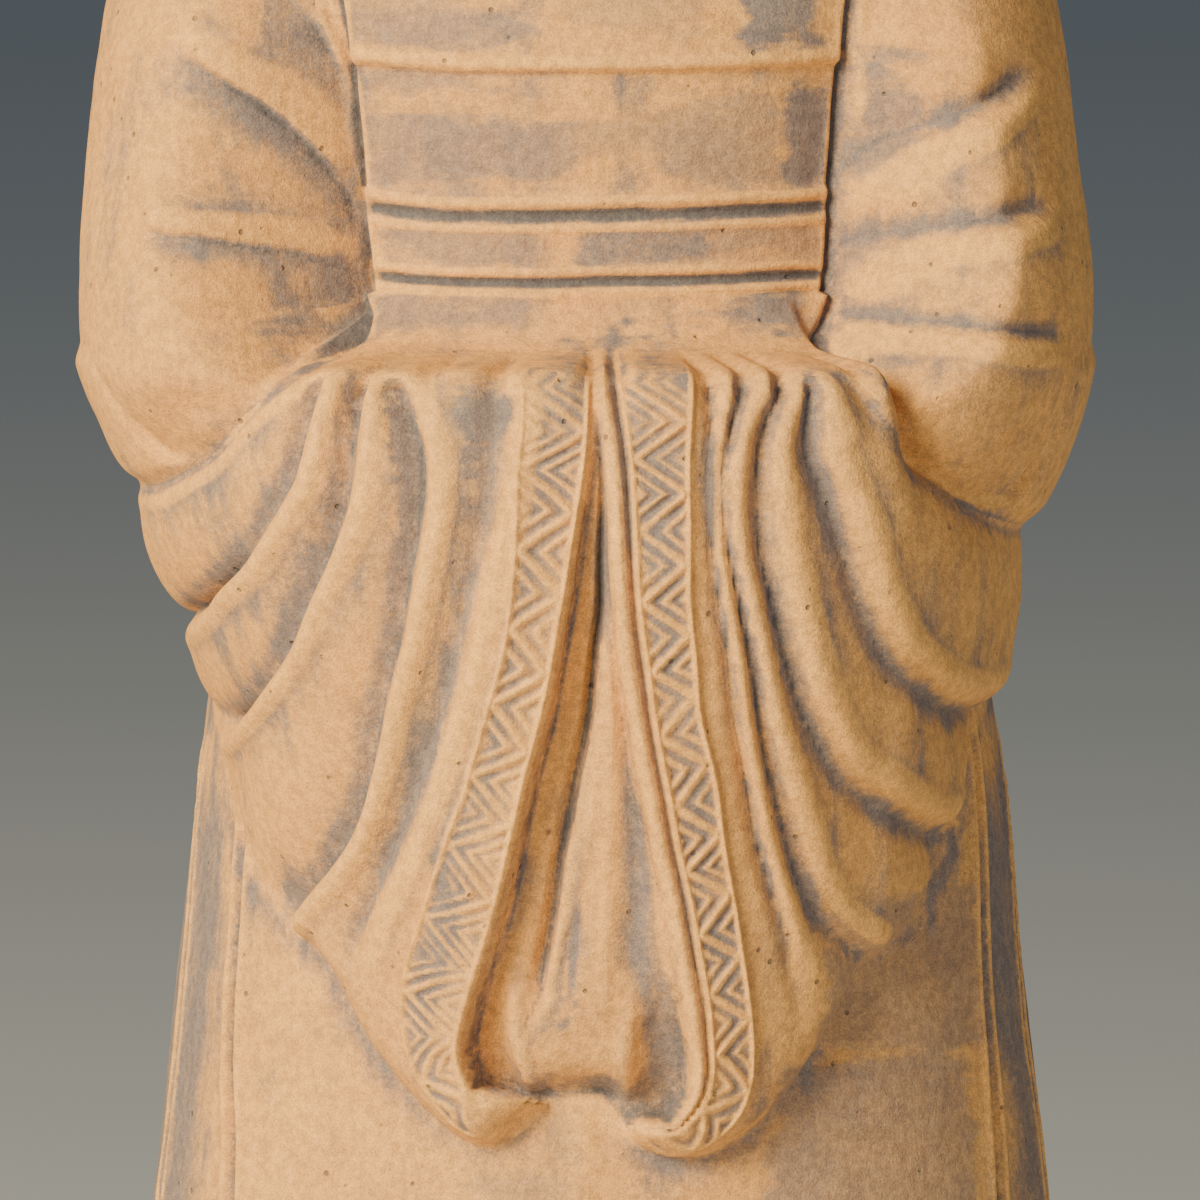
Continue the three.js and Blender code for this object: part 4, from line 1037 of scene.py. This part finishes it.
def fired_clay(colours):
    """Matt tan clay with a thin grey slip left in its hollows and brushed over it in patches, with painted shade in
    its grooves and hollows and a painted highlight on its crests.
    """
    material = bpy.data.materials.new("fired_clay_slip_shade_and_highlight")
    material.use_nodes = True
    tree = material.node_tree
    tree.nodes.clear()
    where = node(tree, "ShaderNodeTexCoord").outputs["Object"]
    broad = grain(tree, where, 28, 3)
    mottle = grain(tree, where, 130, 4, 0.65)
    speckle = grain(tree, where, 1500, 3, 0.7)
    fine = grain(tree, where, 3600, 2, 0.6)
    cloud = grain(tree, where, 62, 4, 0.62)
    sand = grain(tree, where, 620, 3, 0.65)
    streak = grain(tree, where, 1.0, 4, 0.6, stretch=(620, 620, 45))
    brush = grain(tree, where, 1.0, 3, 0.6, stretch=(150, 150, 30), offset=(3, 1, 2))

    clay = mix(tree, between(tree, broad, 0.35, 0.65), rgba(colours.clay_light), rgba(colours.clay_warm))
    clay = mix(tree, maths(tree, "MULTIPLY", between(tree, mottle, 0.42, 0.7), 0.35), clay, rgba(colours.clay_deep))

    # Mask of grey slip, which also carries painted shade along the arm seams, in the valleys and under the sleeves'
    # lower edge.
    wash_and_shade = attribute(tree, "wash_and_shade")
    uneven = maths(tree, "MULTIPLY", maths(tree, "SUBTRACT", streak, 0.5), 0.3)
    uneven = maths(tree, "ADD", uneven, maths(tree, "MULTIPLY", maths(tree, "SUBTRACT", mottle, 0.5), 0.6))
    uneven = maths(tree, "ADD", uneven, maths(tree, "MULTIPLY", maths(tree, "SUBTRACT", cloud, 0.5), 0.9))
    uneven = maths(tree, "ADD", uneven, maths(tree, "MULTIPLY", maths(tree, "SUBTRACT", speckle, 0.5), 0.8))
    clouds = maths(tree, "MULTIPLY", between(tree, brush, 0.44, 0.74), 0.5)
    laid = maths(tree, "ADD", wash_and_shade, uneven)
    laid = between(tree, maths(tree, "ADD", laid, clouds), 0.1, 1.0)
    smear = grain(tree, where, 1.0, 4, 0.6, stretch=(55, 55, 210), offset=(7, 4, 1))
    wobble = maths(tree, "MULTIPLY", maths(tree, "SUBTRACT", smear, 0.5), 14.0)
    wobble = maths(tree, "ADD", wobble, maths(tree, "MULTIPLY", maths(tree, "SUBTRACT", mottle, 0.5), 3.0))
    patch = between(tree, maths(tree, "ADD", attribute(tree, "patch"), wobble), -1.9, 1.5)
    patch = maths(tree, "MULTIPLY", patch, attribute(tree, "tone"))
    thin = maths(tree, "ADD", 0.95, uneven)
    laid = maths(tree, "MAXIMUM", laid, maths(tree, "MULTIPLY", patch, thin))
    # Rubbed places shed their slip; the same mask also lightens crests and ridges as a painted highlight.
    worn_and_highlight = between(tree, maths(tree, "ADD", attribute(tree, "worn_and_highlight"), uneven), 0.25, 0.9)
    laid = maths(tree, "MULTIPLY", laid, maths(tree, "SUBTRACT", 1.0, maths(tree, "MULTIPLY", worn_and_highlight, 0.8)), clamp=True)
    colour = mix(tree, maths(tree, "MULTIPLY", laid, 0.88), clay, rgba(colours.slip))
    # Near-black slip in grooves and fine hollows, partly painted shade, and a darker tone on the hair.
    deep = between(tree, maths(tree, "ADD", attribute(tree, "dark_tone_and_shade"), uneven), 0.3, 0.95)
    colour = mix(tree, maths(tree, "MULTIPLY", deep, 0.7), colour, rgba(colours.blackish_slip_and_shade))
    # Lighter clay on crests and ridges: rubbed clay with a painted highlight.
    colour = mix(tree, maths(tree, "MULTIPLY", worn_and_highlight, 0.4), colour, rgba(colours.rubbed_clay_and_highlight))
    dusty = mix(tree, between(tree, fine, 0.3, 0.7), (0.78, 0.79, 0.82, 1), (1.2, 1.18, 1.16, 1))
    colour = mix(tree, 1.0, colour, dusty, "MULTIPLY")
    dusty = mix(tree, between(tree, sand, 0.35, 0.65), (0.85, 0.85, 0.89, 1), (1.12, 1.12, 1.09, 1))
    colour = mix(tree, 1.0, colour, dusty, "MULTIPLY")

    holes = node(tree, "ShaderNodeTexVoronoi", {"Vector": where, "Scale": 240.0}).outputs["Distance"]
    rare = between(tree, mottle, 0.5, 0.56)
    pin = maths(tree, "MULTIPLY", between(tree, holes, 0.12, 0.06), rare)
    colour = mix(tree, maths(tree, "MULTIPLY", pin, 0.65), colour, rgba(colours.blackish_slip_and_shade))

    relief = maths(tree, "MULTIPLY", speckle, 0.5)
    relief = maths(tree, "ADD", relief, maths(tree, "MULTIPLY", fine, 0.35))
    relief = maths(tree, "ADD", relief, maths(tree, "MULTIPLY", streak, 0.35))
    relief = maths(tree, "ADD", relief, maths(tree, "MULTIPLY", sand, 0.8))
    relief = maths(tree, "SUBTRACT", relief, maths(tree, "MULTIPLY", pin, 1.5))
    bump = node(tree, "ShaderNodeBump", {"Strength": 0.75, "Distance": 0.00035, "Height": relief})
    shader = node(tree, "ShaderNodeBsdfPrincipled", {"Base Color": colour, "Normal": bump.outputs[0]})
    roughness = node(tree, "ShaderNodeMapRange", {"Value": speckle, "To Min": 0.78, "To Max": 0.96})
    tree.links.new(roughness.outputs[0], shader.inputs["Roughness"])
    shader.inputs["Specular IOR Level"].default_value = 0.3
    output = node(tree, "ShaderNodeOutputMaterial")
    tree.links.new(shader.outputs[0], output.inputs["Surface"])
    return material


def plain_material(name, colour, roughness):
    material = bpy.data.materials.new(name)
    material.use_nodes = True
    shader = material.node_tree.nodes["Principled BSDF"]
    shader.inputs["Base Color"].default_value = rgba(colour)
    shader.inputs["Roughness"].default_value = roughness
    return material


# ---------------------------------------------------------------- settings

def colour_property(name, description, default):
    return FloatVectorProperty(name=name, description=description, default=default, size=3, min=0, max=1,
                               subtype="COLOR")


class FigureSettings(bpy.types.PropertyGroup):
    total_height: FloatProperty(
        name="Total Height", description="Height from the floor to the top of the knot",
        default=round(cad_box[1][2], 4), min=0.1, unit="LENGTH")
    fold_depth: FloatProperty(
        name="Fold Depth", description="How deep the robe's folds are cut",
        default=1.35, min=0, max=1.5, subtype="FACTOR")
    band_relief: FloatProperty(
        name="Band Relief", description="How far the cuffs' pattern stands out",
        default=0.0006, min=0, max=0.002, precision=4, unit="LENGTH")
    hand_wobble: FloatProperty(
        name="Hand Wobble", description="Unevenness left by the maker's hand",
        default=1.0, min=0, max=2, subtype="FACTOR")
    triangle_limit: IntProperty(
        name="Triangles", description="Triangles kept in the finished mesh",
        default=194000, min=20000, max=199000)


class ClayColours(bpy.types.PropertyGroup):
    clay_light: colour_property("Light Clay", "Most of the fired clay", (0.82, 0.41, 0.122))
    clay_warm: colour_property("Warm Clay", "Warmer clouds in the clay", (0.76, 0.365, 0.108))
    clay_deep: colour_property("Deep Clay", "Small darker mottles", (0.58, 0.30, 0.10))
    # Lighter clay laid on crests and ridges: rubbed clay, and a painted highlight.
    rubbed_clay_and_highlight: colour_property("Worn Clay", "Rubbed ridges and edges", (1.0, 0.51, 0.14))
    # Grey slip colour, also used for the painted shade along seams, in valleys and under the sleeves' edges.
    slip: colour_property("Slip", "Thin grey slip over the clay", (0.185, 0.165, 0.168))
    # Near-black slip in grooves and hollows, also used for the painted shade there.
    blackish_slip_and_shade: colour_property("Slip in Grooves", "Slip gathered in grooves", (0.072, 0.073, 0.082))
    floor: colour_property("Floor", "Pale studio floor", (0.72, 0.71, 0.69))


class StageSettings(bpy.types.PropertyGroup):
    floor_size: FloatProperty(
        name="Floor Size", description="Width of the floor", default=40.0, min=1, unit="LENGTH")
    camera_distance: FloatProperty(
        name="Camera Distance", description="From the camera to the figure's axis",
        default=1.5, min=0.3, unit="LENGTH")
    camera_pitch: FloatProperty(
        name="Camera Pitch", description="How far the camera looks down",
        default=math.radians(6.0), min=0, max=1.5, subtype="ANGLE")
    view_height: FloatProperty(
        name="View Height", description="Height of the view's middle",
        default=0.262, min=0, unit="LENGTH")
    view_width: FloatProperty(
        name="View Width", description="Width that the view takes in at the figure's axis",
        default=0.18, min=0.05, unit="LENGTH")
    key_power: FloatProperty(
        name="Key Light", description="Power of the large light at the upper left", default=80.0, min=0,
        unit="POWER")
    fill_power: FloatProperty(
        name="Fill Light", description="Power of the weak light at the right", default=6.5, min=0, unit="POWER")


# ---------------------------------------------------------------- operators

class CLAY_OT_figure(bpy.types.Operator):
    """Model the figure in one piece and give it its clay and slip, with painted shade and painted highlight"""

    bl_idname = "clay.figure"
    bl_label = "Model Figure"
    bl_options = {"REGISTER", "UNDO"}

    def execute(self, context):
        figure = add_figure(context.scene.clay_settings)
        figure.data.materials.clear()
        figure.data.materials.append(fired_clay(context.scene.clay_colours))
        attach(figure, "root")
        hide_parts("statue")
        return {"FINISHED"}


class CLAY_OT_stage(bpy.types.Operator):
    """Lay a pale floor and set up the lights and the camera"""

    bl_idname = "clay.stage"
    bl_label = "Set Stage"
    bl_options = {"REGISTER", "UNDO"}

    def execute(self, context):
        scene, stage = context.scene, context.scene.clay_stage
        deselect_all()
        bpy.ops.mesh.primitive_plane_add(size=stage.floor_size, location=(0, 0, 0))
        floor = context.object
        floor.name = "floor"
        floor.data.materials.append(plain_material("studio_floor", scene.clay_colours.floor, 0.9))
        target = Vector((0, 0, stage.view_height))
        for name, place, size, power, colour in (("key", (-1.15, -1.3, 1.15), 0.9, stage.key_power, (1, 0.9, 0.64)),
                                                 ("fill", (1.4, -1.3, 0.6), 1.5, stage.fill_power, (0.8, 0.9, 1))):
            bpy.ops.object.light_add(type="AREA", location=place)
            light = context.object
            light.name = name
            light.data.size = size
            light.data.energy = power
            light.data.color = colour
            light.rotation_euler = (target - Vector(place)).to_track_quat("-Z", "Y").to_euler()
        world = scene.world or bpy.data.worlds.new("studio")
        scene.world = world
        world.use_nodes = True
        background = world.node_tree.nodes["Background"]
        background.inputs["Color"].default_value = (0.72, 0.86, 1.0, 1)
        background.inputs["Strength"].default_value = 0.14
        pitch, distance = stage.camera_pitch, stage.camera_distance
        place = target + Vector((0, -math.cos(pitch), math.sin(pitch))) * distance
        bpy.ops.object.camera_add(location=place, rotation=(math.pi / 2 - pitch, 0, 0))
        camera = context.object
        camera.data.sensor_width = 36.0
        camera.data.lens = 36.0 * distance / stage.view_width
        camera.data.clip_end = 100.0
        scene.camera = camera
        return {"FINISHED"}


class CLAY_PT_panel(bpy.types.Panel):
    """Sizes, colours and steps of the clay figure"""

    bl_idname = "CLAY_PT_panel"
    bl_label = "Clay Figure"
    bl_space_type = "VIEW_3D"
    bl_region_type = "UI"
    bl_category = "Clay Figure"

    def draw(self, context):
        layout = self.layout
        for group in (context.scene.clay_settings, context.scene.clay_colours, context.scene.clay_stage):
            box = layout.box()
            for name in group.__annotations__:
                box.prop(group, name)
        for operator in (CLAY_OT_figure, CLAY_OT_stage):
            layout.operator(operator.bl_idname)


CLASSES = (FigureSettings, ClayColours, StageSettings, CLAY_OT_figure, CLAY_OT_stage, CLAY_PT_panel)


def register():
    for item in CLASSES:
        bpy.utils.register_class(item)
    bpy.types.Scene.clay_settings = PointerProperty(type=FigureSettings)
    bpy.types.Scene.clay_colours = PointerProperty(type=ClayColours)
    bpy.types.Scene.clay_stage = PointerProperty(type=StageSettings)


def unregister():
    del bpy.types.Scene.clay_stage
    del bpy.types.Scene.clay_colours
    del bpy.types.Scene.clay_settings
    for item in reversed(CLASSES):
        bpy.utils.unregister_class(item)


def main():
    register()
    bpy.ops.clay.figure()
    bpy.ops.clay.stage()


if __name__ == "__main__":
    main()
